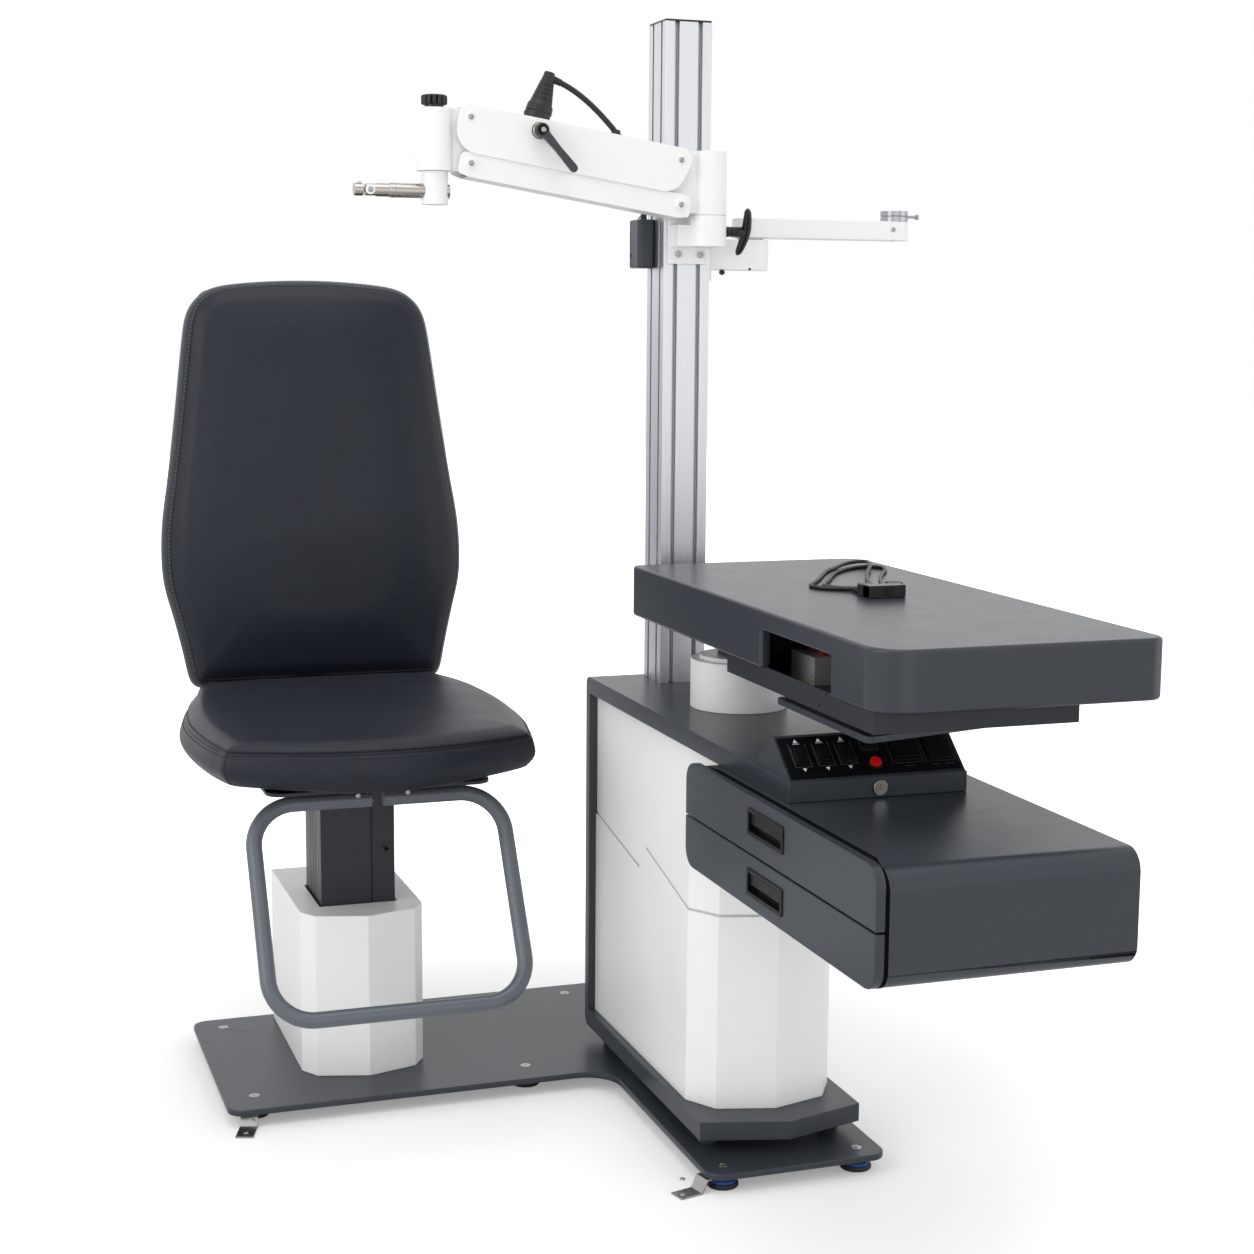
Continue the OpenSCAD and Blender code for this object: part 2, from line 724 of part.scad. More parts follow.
// The back's own frame: X across, Y to the rear, Z up along the cushion
module on_back() {
    translate([chair_x, back_y, back_z]) rotate([-back_lean, 0, 0]) children();
}

// Half widths of the back from its lower edge to its top, as shares of the widest
back_shares = [0.84, 0.885, 0.935, 0.99, 1, 0.985, 0.95, 0.918, 0.888, 0.86, 0.832, 0.8, 0.75];
back_steps = 26;
back_corner = 52;
back_low_corner = 20;
module back_cushion() {
    half = [for (i = [0:back_steps]) let (s = i / back_steps, z = back_h * s,
        top = max(0, z - (back_h - back_corner)) / back_corner,
        low = max(0, back_low_corner - z) / back_low_corner)
        [back_half_w * spline(back_shares, s) - back_corner * (1 - sqrt(max(0, 1 - top * top)))
            - back_low_corner * (1 - sqrt(max(0, 1 - low * low))), z]];
    top_steps = 6;
    edge = half[back_steps].x;
    outline = concat(half, [for (i = [1:top_steps]) [edge * (1 - 2 * i / (top_steps + 1)), back_h]],
        [for (i = [back_steps:-1:0]) [-half[i].x, half[i].y]],
        [for (i = [1:top_steps]) [-half[0].x * (1 - 2 * i / (top_steps + 1)), 0]]);
    n = len(outline);
    centre = [0, back_h * 0.45];
    lumbar_z = back_h * 0.3;
    lumbar_reach = back_h * 0.17;
    draw_in = 20;
    side_shares = [[0, 0.5], [0.15, 0.1], [0.5, -0.05], [0.88, 0.05], [1, 0.2]];
    crown_shares = [0.94, 0.84, 0.68, 0.48, 0.25];
    rings = concat(
        [for (s = side_shares) [for (q = shrunk(outline, centre, s[1] * draw_in))
            [q.x, -back_side_t * s[0], q.y]]],
        [for (k = crown_shares) [for (q = scaled(shrunk(outline, centre, draw_in / 4), centre, k))
            [q.x, -back_side_t - back_crown * pow(1 - k * k, 0.6)
                - lumbar * (1 - k * k) * exp(-pow((q.y - lumbar_z) / lumbar_reach, 2)), q.y]]]);
    color(black) on_back() polyhedron(concat([[centre.x, 0, centre.y]], [for (r = rings) each r],
        [[centre.x, -back_side_t - back_crown, centre.y]]), form_faces(len(rings), n));
}

module back_shell() {
    inset = 14;
    low = back_h * 0.02;
    half = [for (i = [0:back_steps]) let (s = i / back_steps)
        [back_half_w * spline(back_shares, s) - inset, low + (back_h - inset - low) * s]];
    outline = mirrored(half);
    n = len(outline);
    color(black) on_back() prism_y(rounded(outline, [for (i = [0:n - 1])
        i == back_steps || i == back_steps + 1 ? back_corner * 0.5 : 0]), gap, back_shell_t);
}

// Flat bar from under the seat plate up behind the back shell
module back_bracket() {
    y0 = back_shell_t;
    y1 = y0 + bracket_t;
    z0 = hub_top - bracket_t;
    foot = chair_y + bracket_foot;
    bend = [for (p = [[y1, z0], [y0, hub_top]])
        [back_y + p[0] / cos(back_lean) + (p[1] - back_z) * tan(back_lean), p[1]]];
    ends = [for (y = [y1, y0]) [back_y + y * cos(back_lean) + bracket_rise * sin(back_lean),
        back_z - y * sin(back_lean) + bracket_rise * cos(back_lean)]];
    color(steel) translate([chair_x - bracket_w / 2, 0, 0]) rotate([90, 0, 90]) linear_extrude(height = bracket_w)
        polygon([[foot, z0], bend[0], ends[0], ends[1], bend[1], [foot, hub_top]]);
}

// Quarter bend in the loop's plane, centred on (x, z)
module loop_bend(x, z, r, a) {
    translate([x, 0, z]) rotate([90, a, 0]) rotate_extrude(angle = 90) translate([r, 0]) circle(r = loop_tube_r);
}

module footrest_loop() {
    top_x = loop_half_w - loop_top_r;
    low_x = loop_half_w - loop_low_r;
    color(dark) translate([chair_x, loop_y, loop_z]) rotate([-loop_lean, 0, 0]) for (s = [0, 1]) mirror([s, 0, 0]) {
        rod_x(loop_tube_r, loop_end_gap / 2, top_x);
        loop_bend(top_x, -loop_top_r, loop_top_r, 0);
        translate([loop_half_w, 0, loop_low_r - loop_len])
            cylinder(r = loop_tube_r, h = loop_len - loop_top_r - loop_low_r);
        loop_bend(low_x, loop_low_r - loop_len, loop_low_r, 90);
        translate([0, 0, -loop_len]) rod_x(loop_tube_r, 0, low_x);
    }
}

// Lever under the right of the seat that locks the swivel
module swivel_lever() {
    post_r = 6;
    post_x = 62;
    post_y = -190;
    reach = 60;
    paddle_t = 5;
    paddle_w = 16;
    drop = 30;
    color(dark) translate([chair_x + post_x, chair_y + post_y, hub_top - gap]) {
        translate([0, 0, -drop]) cylinder(r = post_r, h = drop);
        translate([0, 0, -drop]) bar(0, reach, -paddle_w / 2, paddle_w / 2, 0, paddle_t);
    }
}

module console_frame() {
    half = console_w / 2;
    r = 14;
    y0 = console_front;
    side = [[y0, top_under], [cover_rear, top_under], [cover_rear, low_bar_z], [console_rear, low_bar_z],
        [console_rear, console_top], [y0, console_top]];
    plan = [[-half, 0], [-half, -low_bar_len], [0, -low_bar_len - low_bar_point], [half, -low_bar_len], [half, 0]];
    inner = half - frame_wall;
    post = column_w / 2;
    post_wall = 4;
    cable_r = 20;
    color(dark) difference() {
        union() {
            translate([console_x, 0, 0]) prism_x(rounded(side, [0, 0, 0, r, r, 0]), -half, half);
            translate([console_x, console_rear - rear_bar_t / 2, 0]) prism(plan, low_bar_z, low_bar_top);
            translate([column_x, column_y, 0]) bar(-post, post, -post, post, low_bar_top - over, top_under + over);
            for (sx = [-1, 1], d = [rear_bar_t * 3, low_bar_len * 0.93])
                translate([console_x + sx * (half - standoff_r * 2), console_rear - d, plate_top])
                    cylinder(r = standoff_r, h = low_bar_gap + over);
        }
        translate([console_x, 0, 0]) bar(-inner, inner, y0 + frame_wall, cover_rear - over,
            top_under + frame_wall, console_top - frame_wall);
        translate([console_x, console_rear - rear_bar_t / 2, 0]) bar(-inner, inner, -low_bar_len,
            -rear_bar_t, low_bar_z + frame_wall, low_bar_top - frame_wall);
        translate([column_x, column_y, 0]) bar(post_wall - post, post - post_wall, post_wall - post,
            post - post_wall, low_bar_top - frame_wall - over, top_under + frame_wall + over);
        translate([drum_x, drum_y, top_under - over]) cylinder(r = cable_r, h = top_t + 2 * over);
        translate([console_x, y0, (console_top + top_under) / 2])
            rod_y(lock_r + fit, -over, frame_wall + over);
    }
}

// Parting line of the two covers, as seen from the side
zig_shares = [0, 0.5, 0.567, 1];
function parting_line(shift) = let (z = [parting_high, parting_low, parting_high, parting_front])
    concat([for (i = [0:3]) [cover_rear - cover_side * zig_shares[i], z[i] + shift]],
        [[console_front, parting_front + shift]]);

module cover_shell(grow, z0, z1) {
    half = cover_half + grow;
    translate([console_x, cover_rear, 0]) difference() {
        prism(faceted(half, 0, cover_side + grow, cover_chamfer, cover_chamfer_w, cover_point), z0, z1);
        prism(faceted(half - cover_wall, over, cover_side + grow - cover_wall + over, cover_chamfer,
            cover_chamfer_w, cover_point), z0 - over, z1 + over);
    }
}

parting_gap = 1.5;

module lower_cover() {
    color(white) intersection() {
        cover_shell(cover_step, low_bar_top, parting_high + over);
        translate([console_x, 0, 0]) prism_x(concat(parting_line(-parting_gap),
            [[console_front, plate_top], [cover_rear, plate_top]]), -console_w, console_w);
    }
}

module upper_cover() {
    color(white) intersection() {
        cover_shell(0, parting_front - over, top_under);
        translate([console_x, 0, 0]) prism_x(concat(parting_line(parting_gap),
            [[console_front, console_top], [cover_rear, console_top]]), -console_w, console_w);
    }
}

module power_supply() {
    w = 120;
    d = 180;
    h = 70;
    color(steel) translate([console_x, console_rear - low_bar_len * 0.6, low_bar_top])
        bar(-w / 2, w / 2, -d / 2, d / 2, 0, h);
}

// One T-slot, opening towards -Y at the profile's face
module slot_shape() {
    m = slot_mouth / 2;
    lip = slot_mouth * 0.56;
    wing = slot_mouth * 1.2;
    deep = slot_mouth * 1.5;
    polygon([[-m, -over], [-m, lip], [-wing, lip], [-wing, lip * 1.5], [-wing / 2, deep], [wing / 2, deep],
        [wing, lip * 1.5], [wing, lip], [m, lip], [m, -over]]);
}

module column_profile() {
    core_r = column_w * 0.07;
    color([0.8, 0.81, 0.83]) translate([column_x, column_y, console_top])
        linear_extrude(column_top - cap_t - console_top) difference() {
            square(column_w, center = true);
            for (a = [0:90:270], s = [-1, 1]) rotate(a) translate([s * column_w / 4, -column_w / 2]) slot_shape();
            for (sx = [-1, 1], sy = [-1, 1]) translate([sx, sy] * column_w / 4) circle(r = core_r);
            square(column_w * 0.2, center = true);
        }
}

module column_cap() {
    half = column_w / 2;
    r = 3;
    color(black) translate([column_x, column_y, 0])
        prism(rounded(box_outline(-half, -half, half, half), [r, r, r, r]), column_top - cap_t, column_top);
}

// White drum on the console's top, with the bearing bore for the table's shaft
module pivot_drum() {
    wall = 4;
    boss_r = swing_shaft_r + 12;
    lid_t = 8;
    inner_h = drum_h - lid_t;
    color(white) translate([drum_x, drum_y, console_top]) difference() {
        cylinder(r = drum_r, h = drum_h);
        translate([0, 0, -over]) difference() {
            cylinder(r = drum_r - wall, h = inner_h + over);
            cylinder(r = boss_r, h = inner_h + over);
        }
        translate([0, 0, -over]) cylinder(r = swing_shaft_r + fit, h = drum_h + 2 * over);
    }
}

// Shaft, hub disc and the plate that carries the table's rails
module swing_arm() {
    neck = 34;
    front_cut = 70;
    pad_half = tray_w / 2 - 10;
    pad_rear = tray_rear - 159;
    pad_front = tray_rear - tray_len + 37;
    shaft_len = drum_h - 12;
    color(dark) {
        translate([drum_x, drum_y, swing_z - hub_disc_h + gap]) cylinder(r = drum_r - 15, h = hub_disc_h);
        translate([drum_x, drum_y, swing_z - hub_disc_h - shaft_len]) cylinder(r = swing_shaft_r, h = shaft_len + over);
        prism(rounded([[drum_x - neck, drum_y + neck], [drum_x - neck, pad_rear], [tray_x - pad_half, pad_rear],
            [tray_x - pad_half, pad_front], [tray_x + pad_half, pad_front + front_cut], [tray_x + pad_half, pad_rear],
            [drum_x + neck, pad_rear], [drum_x + neck, drum_y + neck]],
            [neck * 0.9, 0, 8, 8, front_cut, 8, 0, neck * 0.9]), swing_z, rail_z);
    }
}

module slide_rails() {
    w = 34;
    from_side = 38;
    rear = tray_rear - 164;
    front = tray_rear - tray_len + 44 + neck_room();
    color(black) for (s = [-1, 1])
        translate([tray_x + s * (tray_w / 2 - from_side), 0, 0])
            bar(-w / 2, w / 2, front, rear, rail_z, rail_z + rail_h);
}
function neck_room() = 60;

// Open sheet tray under the table, which runs on the rails
module slide_tray() {
    half = tray_w / 2;
    front = tray_rear - tray_len;
    color(dark) difference() {
        translate([tray_x, 0, 0]) bar(-half, half, front, tray_rear, tray_z, table_z);
        translate([tray_x, 0, 0]) bar(tray_wall - half, half - tray_wall, front + tray_wall,
            tray_rear - tray_wall, tray_z + tray_wall, table_z + over);
    }
}

module table_top() {
    half = table_w / 2;
    inner = half - table_wall;
    front = table_rear - table_len;
    r = table_r;
    ri = table_r - table_wall;
    rail = 30;
    color(dark) difference() {
        union() {
            difference() {
                translate([table_x, 0, 0]) prism(rounded(box_outline(-half, front, half, table_rear),
                    [r, r * 0.5, r * 0.9, r * 0.3]), table_z, table_top_z);
                translate([table_x, 0, 0]) prism(rounded(box_outline(-inner, front + table_wall, inner,
                    table_rear - table_wall), [ri, 0, 0, 0]), table_z - over, table_top_z - table_wall);
            }
            // Two cross battens under the board, which rest on the tray's edges
            for (y = [tray_rear - rail, tray_rear - tray_len + rail])
                translate([table_x, y, 0]) bar(-inner - over, inner + over, -rail / 2, rail / 2,
                    table_z, table_top_z - table_wall + over);
        }
        translate([table_x, cutout_rear, 0]) bar(-half - over, -inner + over, -cutout_len, 0,
            table_z - over, table_z + cutout_h);
    }
}

module lock_box() {
    size = [66, 80, 40];
    from_side = 65;
    from_cutout = 13;
    color(steel) translate([tray_x - tray_w / 2 + from_side, cutout_rear - from_cutout, tray_z + tray_wall])
        cube(size);
}

// Frame of the wedge's sloping face: X across, Y up the slope, Z out of the face
module on_slope() {
    translate([console_x, wedge_front, console_top]) rotate([slope, 0, 0]) children();
}

module control_housing() {
    half = wedge_w / 2;
    ledge = 8;
    side = [[wedge_front, console_top], [wedge_front + wedge_d, console_top],
        [wedge_front + wedge_slope_d, console_top + wedge_h]];
    color(dark) difference() {
        translate([console_x, 0, 0]) prism_x(side, -half, half);
        on_slope() bar(panel_margin - half, half - panel_margin, panel_margin, slope_len - panel_margin,
            -panel_t, over);
        intersection() {
            on_slope() bar(ledge - half, half - ledge, ledge, slope_len - ledge, -wedge_h, 0);
            translate([console_x, 0, 0]) prism_x([[wedge_front, console_top + frame_wall],
                [wedge_front + wedge_d - ledge * 1.5, console_top + frame_wall],
                [wedge_front + wedge_slope_d, console_top + wedge_h - ledge / 2],
                [wedge_front, console_top + wedge_h]], ledge - half, half - ledge);
        }
    }
}

// Raised frame round a switch
module bezel_frame(x, y, w, l) {
    translate([x, y, 0]) bar(-w / 2 - bezel, w / 2 + bezel, -l / 2 - bezel, l / 2 + bezel, -panel_t, bezel_h);
}

module switch_hole(x, y, w, l) {
    translate([x, y, 0]) bar(-w / 2 - rocker_gap, w / 2 + rocker_gap, -l / 2 - rocker_gap, l / 2 + rocker_gap,
        -panel_t - over, bezel_h + over);
}

small_len = rocker_len * 0.6;
button_y = slope_len * 0.3;
small_y = slope_len * 0.74;
// Middle of each switch across and up the slope, with its width and length
switches = [
    [rocker_x[0], row_y, rocker_w, rocker_len], [rocker_x[1], row_y, rocker_w, rocker_len],
    [rocker_x[2], row_y, rocker_w, rocker_len], [button_x, small_y, rocker_w, small_len],
    [square_x, row_y, square_w, square_w * 0.9], [double_x, row_y, square_w, rocker_len * 1.75]];

module control_panel() {
    half = wedge_w / 2 - panel_margin;
    ring_w = 2.5;
    color(black) on_slope() difference() {
        union() {
            bar(gap - half, half - gap, panel_margin + gap, slope_len - panel_margin - gap, -panel_t, 0);
            for (s = switches) bezel_frame(s[0], s[1], s[2], s[3]);
            translate([button_x, button_y, -panel_t]) cylinder(r = button_r + ring_w, h = panel_t + bezel_h);
        }
        for (s = switches) switch_hole(s[0], s[1], s[2], s[3]);
        translate([button_x, button_y, -panel_t - over])
            cylinder(r = button_r + fit, h = panel_t + bezel_h + 2 * over);
    }
}

// Rocker cap with a shallow valley across its middle
module rocker(i) {
    s = switches[i];
    l = s[3] / 2;
    peak = 3.2;
    valley = 1.8;
    bottom = -panel_t - 2;
    axle_r = 0.8;
    axle = s[2] / 2 + rocker_gap / 2;
    color(black) on_slope() translate([s[0], s[1], 0]) {
        prism_x([[-l, bottom], [l, bottom], [l, peak], [0, valley], [-l, peak]], -s[2] / 2, s[2] / 2);
        translate([0, 0, -pivot_depth]) rod_x(axle_r, -axle, axle);
    }
}

module rocker_1() rocker(0);
module rocker_2() rocker(1);
module rocker_3() rocker(2);
module rocker_4() rocker(3);
module square_rocker() rocker(4);
module double_rocker() rocker(5);

module red_button() {
    stand = 4.5;
    below = 6;
    color("red") on_slope() translate([button_x, button_y, -below]) cylinder(r = button_r, h = below + stand);
}

// Barrel in the console's front edge, with a keyway in its head
module key_lock() {
    head_r = lock_r + 1.5;
    head_t = 4;
    key = [1.8, 9];
    deep = 2;
    color(steel) translate([console_x, console_front, (console_top + top_under) / 2]) difference() {
        union() {
            rod_y(lock_r, -gap - over, 16);
            rod_y(head_r, -gap - head_t, -gap);
        }
        bar(-key.x / 2, key.x / 2, -gap - head_t - over, -gap - head_t + deep, -key.y / 2, key.y / 2);
    }
}

function case_outline(inset, rise = 0) = let (r = max(case_r - inset, 1)) rounded(
    box_outline(case_front + inset, case_bottom + inset, case_front + case_len - inset, case_top - inset + rise),
    [r, r, r, r]);
function front_low(i) = i == 0 ? case_bottom : split_z + front_gap / 2;
function front_high(i) = i == 0 ? split_z - front_gap / 2 : case_top + front_rise;
function pull_z(i) = (front_low(i) + front_high(i)) / 2 + pull_up[i];

module drawer_case() {
    ledge_w = 10;
    ledge_t = 6;
    color(dark) {
        difference() {
            prism_x(case_outline(0), case_left, case_left + case_w);
            prism_x(case_outline(case_wall), case_left - over, case_left + case_w - case_wall);
        }
        for (z = drawer_bottoms, s = [-1, 1])
            translate([case_left, case_mid_y + s * (case_len / 2 - case_wall - ledge_w / 2), z])
                bar(0, case_w - over, -ledge_w / 2 - over, ledge_w / 2, 8, 8 + ledge_t);
    }
}
drawer_h = 52;
drawer_bottoms = [case_bottom + 12, split_z + 8];

// Sheet drawer with its thick front; the runner strips on its sides ride on the case's ledges
module drawer(i) {
    z = drawer_bottoms[i];
    y0 = case_front + drawer_side_gap;
    y1 = case_front + case_len - drawer_side_gap;
    x1 = case_left + case_w - drawer_side_gap;
    front_x = case_left - 3;
    strip = 6;
    color(dark) difference() {
        union() {
            intersection() {
                prism_x(case_outline(0, front_rise), front_x - front_t, front_x);
                bar(front_x - front_t - over, front_x + over, case_front - over, case_front + case_len + over,
                    front_low(i), front_high(i));
            }
            difference() {
                bar(front_x - over, x1, y0, y1, z, z + drawer_h);
                bar(front_x, x1 - case_wall, y0 + case_wall, y1 - case_wall, z + case_wall, z + drawer_h + over);
            }
            for (y = [y0, y1]) bar(case_left + 4, x1, y - strip / 2, y + strip / 2, z + 14 + gap, z + 14 + strip);
        }
        translate([0, pull_y, pull_z(i)]) bar(front_x - front_t - over, front_x + over,
            -pull_len / 2 + 4, pull_len / 2 - 4, 4 - pull_h / 2, pull_h / 2 - 4);
    }
}

module upper_drawer() drawer(1);
module lower_drawer() drawer(0);

// Recessed pull: a flange on the front and an open cup in the cut-out
module pull(i) {
    front_x = case_left - 3 - front_t;
    flange_t = 2;
    cup = 10;
    wall = 2;
    lip = 4 + gap;
    hl = pull_len / 2;
    hh = pull_h / 2;
    color(black) translate([front_x, pull_y, pull_z(i)]) difference() {
        union() {
            prism_x(rounded(box_outline(-hl, -hh, hl, hh), [lip, lip, lip, lip]), -flange_t, 0);
            bar(-over, cup, lip - hl, hl - lip, lip - hh, hh - lip);
        }
        bar(-flange_t - over, cup - wall, lip + wall - hl, hl - lip - wall, lip + wall - hh, hh - lip - wall);
    }
}

module upper_pull() pull(1);
module lower_pull() pull(0);

module arm_bracket() {
    plate_half = 34;
    plate_low = hub_seam_z - 77;
    hub_low = hub_seam_z - 50;
    bore = 45;
    neck = 24;
    edge = 4;
    step = 15;
    color(white) difference() {
        union() {
            translate([column_x, 0, 0]) bar(-plate_half, plate_half, column_face - bracket_plate_t, column_face,
                plate_low, hub_seam_z - gap);
            translate([arm_x, arm_y, hub_low]) cylinder(r = hub_r, h = hub_seam_z - gap - hub_low);
            translate([arm_x, 0, 0]) bar(-neck, neck, arm_y, column_face - over, hub_low, hub_seam_z - gap);
            bar(column_x - plate_half + edge, arm_x, arm_y, column_face - over, hub_low, hub_seam_z - step);
        }
        translate([arm_x, arm_y, hub_seam_z - bore]) cylinder(r = hub_pin_r + fit, h = bore + over);
        translate([arm_x, arm_y, hub_seam_z - 25]) rod_x(stud_r + fit, hub_pin_r, hub_r + over);
    }
}

// Black T-handle that clamps the hub
module t_handle() {
    boss_r = 8.5;
    boss_x = hub_r + gap;
    bar_x = hub_r + 38;
    half = 34;
    end_rad = 4.5;
    sweep = 6.5;
    lean = 21;
    color(black) translate([arm_x, arm_y, hub_seam_z - 25]) {
        rod_x(stud_r, hub_pin_r + over, bar_x);
        rod_x(boss_r, boss_x, bar_x);
        for (s = [-1, 1]) hull() {
            translate([bar_x - boss_r / 2, 0, 0]) sphere(r = boss_r, $fn = 16);
            translate([bar_x - sweep, -s * lean, s * half]) sphere(r = end_rad, $fn = 16);
        }
    }
}

// Upright tongue between the two pivots of a parallel arm, with its pins and bosses
module tongue(x0, x1, low, high) {
    pin_len = link_w / 2 + 1;
    boss_r = link_pin_r + 5;
    low_inner = link_w / 2 - 2 * link_wall - 1;
    translate([0, arm_y, 0]) {
        prism_y(rounded([[x1, low - tongue_r + 2], [x0, low - tongue_r + 2], [x0, high + tongue_r - 2],
            [x1, high + tongue_r - 2]], [0, 8, 8, 0]), -tongue_t / 2, tongue_t / 2);
        for (z = [low, high]) translate([(x0 + x1) / 2 + (x0 - x1) / 2 - (x0 - x1) / abs(x0 - x1) * tongue_r, 0, z]) {
            rod_y(link_pin_r, -pin_len, pin_len);
            rod_y(boss_r, -(z == low ? low_inner : link_w / 2 - link_wall) + gap,
                (z == low ? low_inner : link_w / 2 - link_wall) - gap);
        }
    }
}

module arm_hub() {
    top = high_pivot_z + 16;
    pin_len = 42;
    color(white) {
        translate([arm_x, arm_y, hub_seam_z]) cylinder(r = hub_r, h = top - hub_seam_z);
        translate([arm_x, arm_y, hub_seam_z - pin_len]) cylinder(r = hub_pin_r, h = pin_len + over);
        tongue(pivot_x - tongue_r, arm_x, low_pivot_z, high_pivot_z);
    }
}

module end_block() {
    knob_bore = 5;
    color(white) difference() {
        union() {
            translate([end_axis_x, arm_y, end_bottom]) cylinder(r = end_r, h = end_top - end_bottom);
            tongue(end_x + tongue_r, end_axis_x, end_low_z, end_high_z);
        }
        translate([end_axis_x, arm_y, end_bottom - over])
            cylinder(r = spindle_shaft_r + fit, h = end_top - end_bottom - knob_bore * 2 + over);
        translate([end_axis_x, arm_y, end_bottom]) cylinder(r = knob_bore + fit, h = end_top - end_bottom + over);
    }
}

// Frame of a link: X from the hub's pivot towards the tip, Y across, Z up
module on_link(z) {
    translate([pivot_x, arm_y, z]) rotate([0, link_rise, 0]) mirror([1, 0, 0]) children();
}

module link_bores() {
    for (u = [0, link_len]) translate([u, 0, 0]) rod_y(link_pin_r + fit, -link_w, link_w);
}

lever_u = link_len * 0.682;

// Wide cover link, open below, that hides most of the lower link
module upper_link() {
    half = link_w / 2;
    top = 19;
    drop = 54;
    near_r = (top + drop) / 2;
    far_r = near_r;
    color(white) on_link(high_pivot_z) difference() {
        translate([0, half, 0]) rotate([90, 0, 0]) linear_extrude(link_w) hull() {
            circle(r = top);
            translate([link_len, 0]) circle(r = top);
            translate([near_r - 12, near_r - drop]) circle(r = near_r);
            translate([link_len + top - far_r, far_r - drop]) circle(r = far_r);
        }
        bar(-top - over, link_len + top + over, link_wall - half, half - link_wall, -drop - over, top - link_wall);
        for (u = [-link_len, link_len]) bar(u, u + link_len, link_wall - half, half - link_wall, 0, top + over);
        link_bores();
        translate([lever_u, 0, 0]) rod_y(link_pin_r + fit, -link_w, 0);
    }
}

// Narrow link with its web below
module lower_link() {
    half = link_w / 2 - link_wall - 1;
    r = 18;
    web = 21;
    up = 17;
    color(white) on_link(low_pivot_z) difference() {
        prism_y(rounded([[-r, -web + 4], [0, -web], [link_len, -web], [link_len + r, -web + 4],
            [link_len + r, up], [-r, up]], [6, 6, 6, 6, 12, 12]), -half, half);
        bar(-r - over, link_len + r + over, link_wall - half, half - link_wall, -web + link_wall / 2, up + over);
        for (u = [-link_len, link_len]) bar(u, u + link_len, link_wall - half, half - link_wall, -web - over, up);
        link_bores();
    }
}

// Clamping lever on the front of the upper link
module clamp_lever() {
    hub_l = 22;
    hub_r2 = 8.5;
    reach = 84;
    lean = 9;
    tip_r2 = 5.5;
    grip_t = 9;
    face = link_w / 2 + gap;
    hang = 50.5;
    color(black) on_link(high_pivot_z) translate([lever_u, 0, 0]) {
        rod_y(link_pin_r, -face - over, link_wall - face);
        rod_y(hub_r2, -face - hub_l, -face);
        translate([0, -face - hub_l + grip_t, 0]) rotate([0, link_rise - hang - 90, 0]) rotate([lean, 0, 0])
            prism_y(rounded([[-hub_r2 * 0.8, 0], [hub_r2 * 0.8, 0], [tip_r2, reach], [-tip_r2, reach]],
                [0, 0, tip_r2 * 0.9, tip_r2 * 0.9]), -grip_t, 0);
    }
}

// Cable plug standing on the upper link, and the cable that goes back into it
module arm_lead() {
    collar_r = 21;
    collar_h = 12;
    cone_h = 54;
    cone_lean = 8;
    cone_r = 18;
    neck_r = 9;
    top = 19 + gap;
    gland_h = 6;
    color(black) {
        on_link(high_pivot_z) translate([lever_u, 0, top]) {
            cylinder(r = collar_r, h = collar_h);
            translate([0, 0, collar_h - 2]) rotate([0, -cone_lean, 0]) {
                cylinder(r1 = cone_r, r2 = neck_r, h = cone_h);
                translate([0, 0, cone_h - over]) cylinder(r = neck_r, h = neck_r);
            }
        }
        on_link(high_pivot_z) translate([lever_u, 0, 0]) {
            translate([arm_cable_route[len(arm_cable_route) - 1].x, 0, top]) cylinder(r = neck_r, h = gland_h);
            swept_tube(arm_cable_route, arm_cable_r, 8);
        }
    }
}

module turning_knob() {
    head_h = 15;
    neck_h = 5;
    neck_r = 15;
    stem = 12;
    stem_r = 5;
    color(black) translate([end_axis_x, arm_y, end_top + gap]) {
        translate([0, 0, -stem]) cylinder(r = stem_r, h = stem + over);
        cylinder(r = neck_r, h = neck_h);
        translate([0, 0, neck_h]) cylinder(r = spindle_r, h = head_h);
    }
}

module spindle() {
    shaft_h = end_top - end_bottom - 15;
    color(white) difference() {
        union() {
            translate([end_axis_x, arm_y, spindle_bottom]) cylinder(r = spindle_r, h = end_bottom - gap - spindle_bottom);
            translate([end_axis_x, arm_y, end_bottom - over]) cylinder(r = spindle_shaft_r, h = shaft_h);
        }
        translate([end_axis_x, arm_y, rod_z]) rod_x(rod_r + fit, -spindle_r - over, spindle_r + over);
    }
}

fork_slot = 8;

// Rod through the spindle, with a thinner neck and a fork at its end
module holder_rod() {
    neck_r = rod_r - 1;
    end_len = 6;
    color(steel) translate([0, arm_y, rod_z]) difference() {
        union() {
            rod_x(rod_r, rod_neck_x, end_axis_x + spindle_r + 2);
            rod_x(neck_r, tip_pivot_x - end_len, rod_neck_x + over);
        }
        bar(tip_pivot_x - end_len - over, tip_pivot_x + end_len + 4, -fork_slot / 2 - gap, fork_slot / 2 + gap,
            -rod_r - over, rod_r + over);
        translate([tip_pivot_x, 0, 0]) rod_y(3 + fit, -rod_r - over, rod_r + over);
    }
}

// Tilting tip with the pin that takes the instrument
module rod_tip() {
    pin_r = 3;
    from = 10;
    tip_len = 24;
    tongue_h = 7;
    color(steel) translate([tip_pivot_x, arm_y, rod_z]) {
        rod_y(pin_r, 1 - rod_r, rod_r - 1);
        translate([-from - over, 0, 0]) bar(0, from + over, -fork_slot / 2, fork_slot / 2, -tongue_h, tongue_h);
        rod_y(tongue_h, -fork_slot / 2, fork_slot / 2);
        rod_x(tip_r, -tip_len, -from);
    }
}

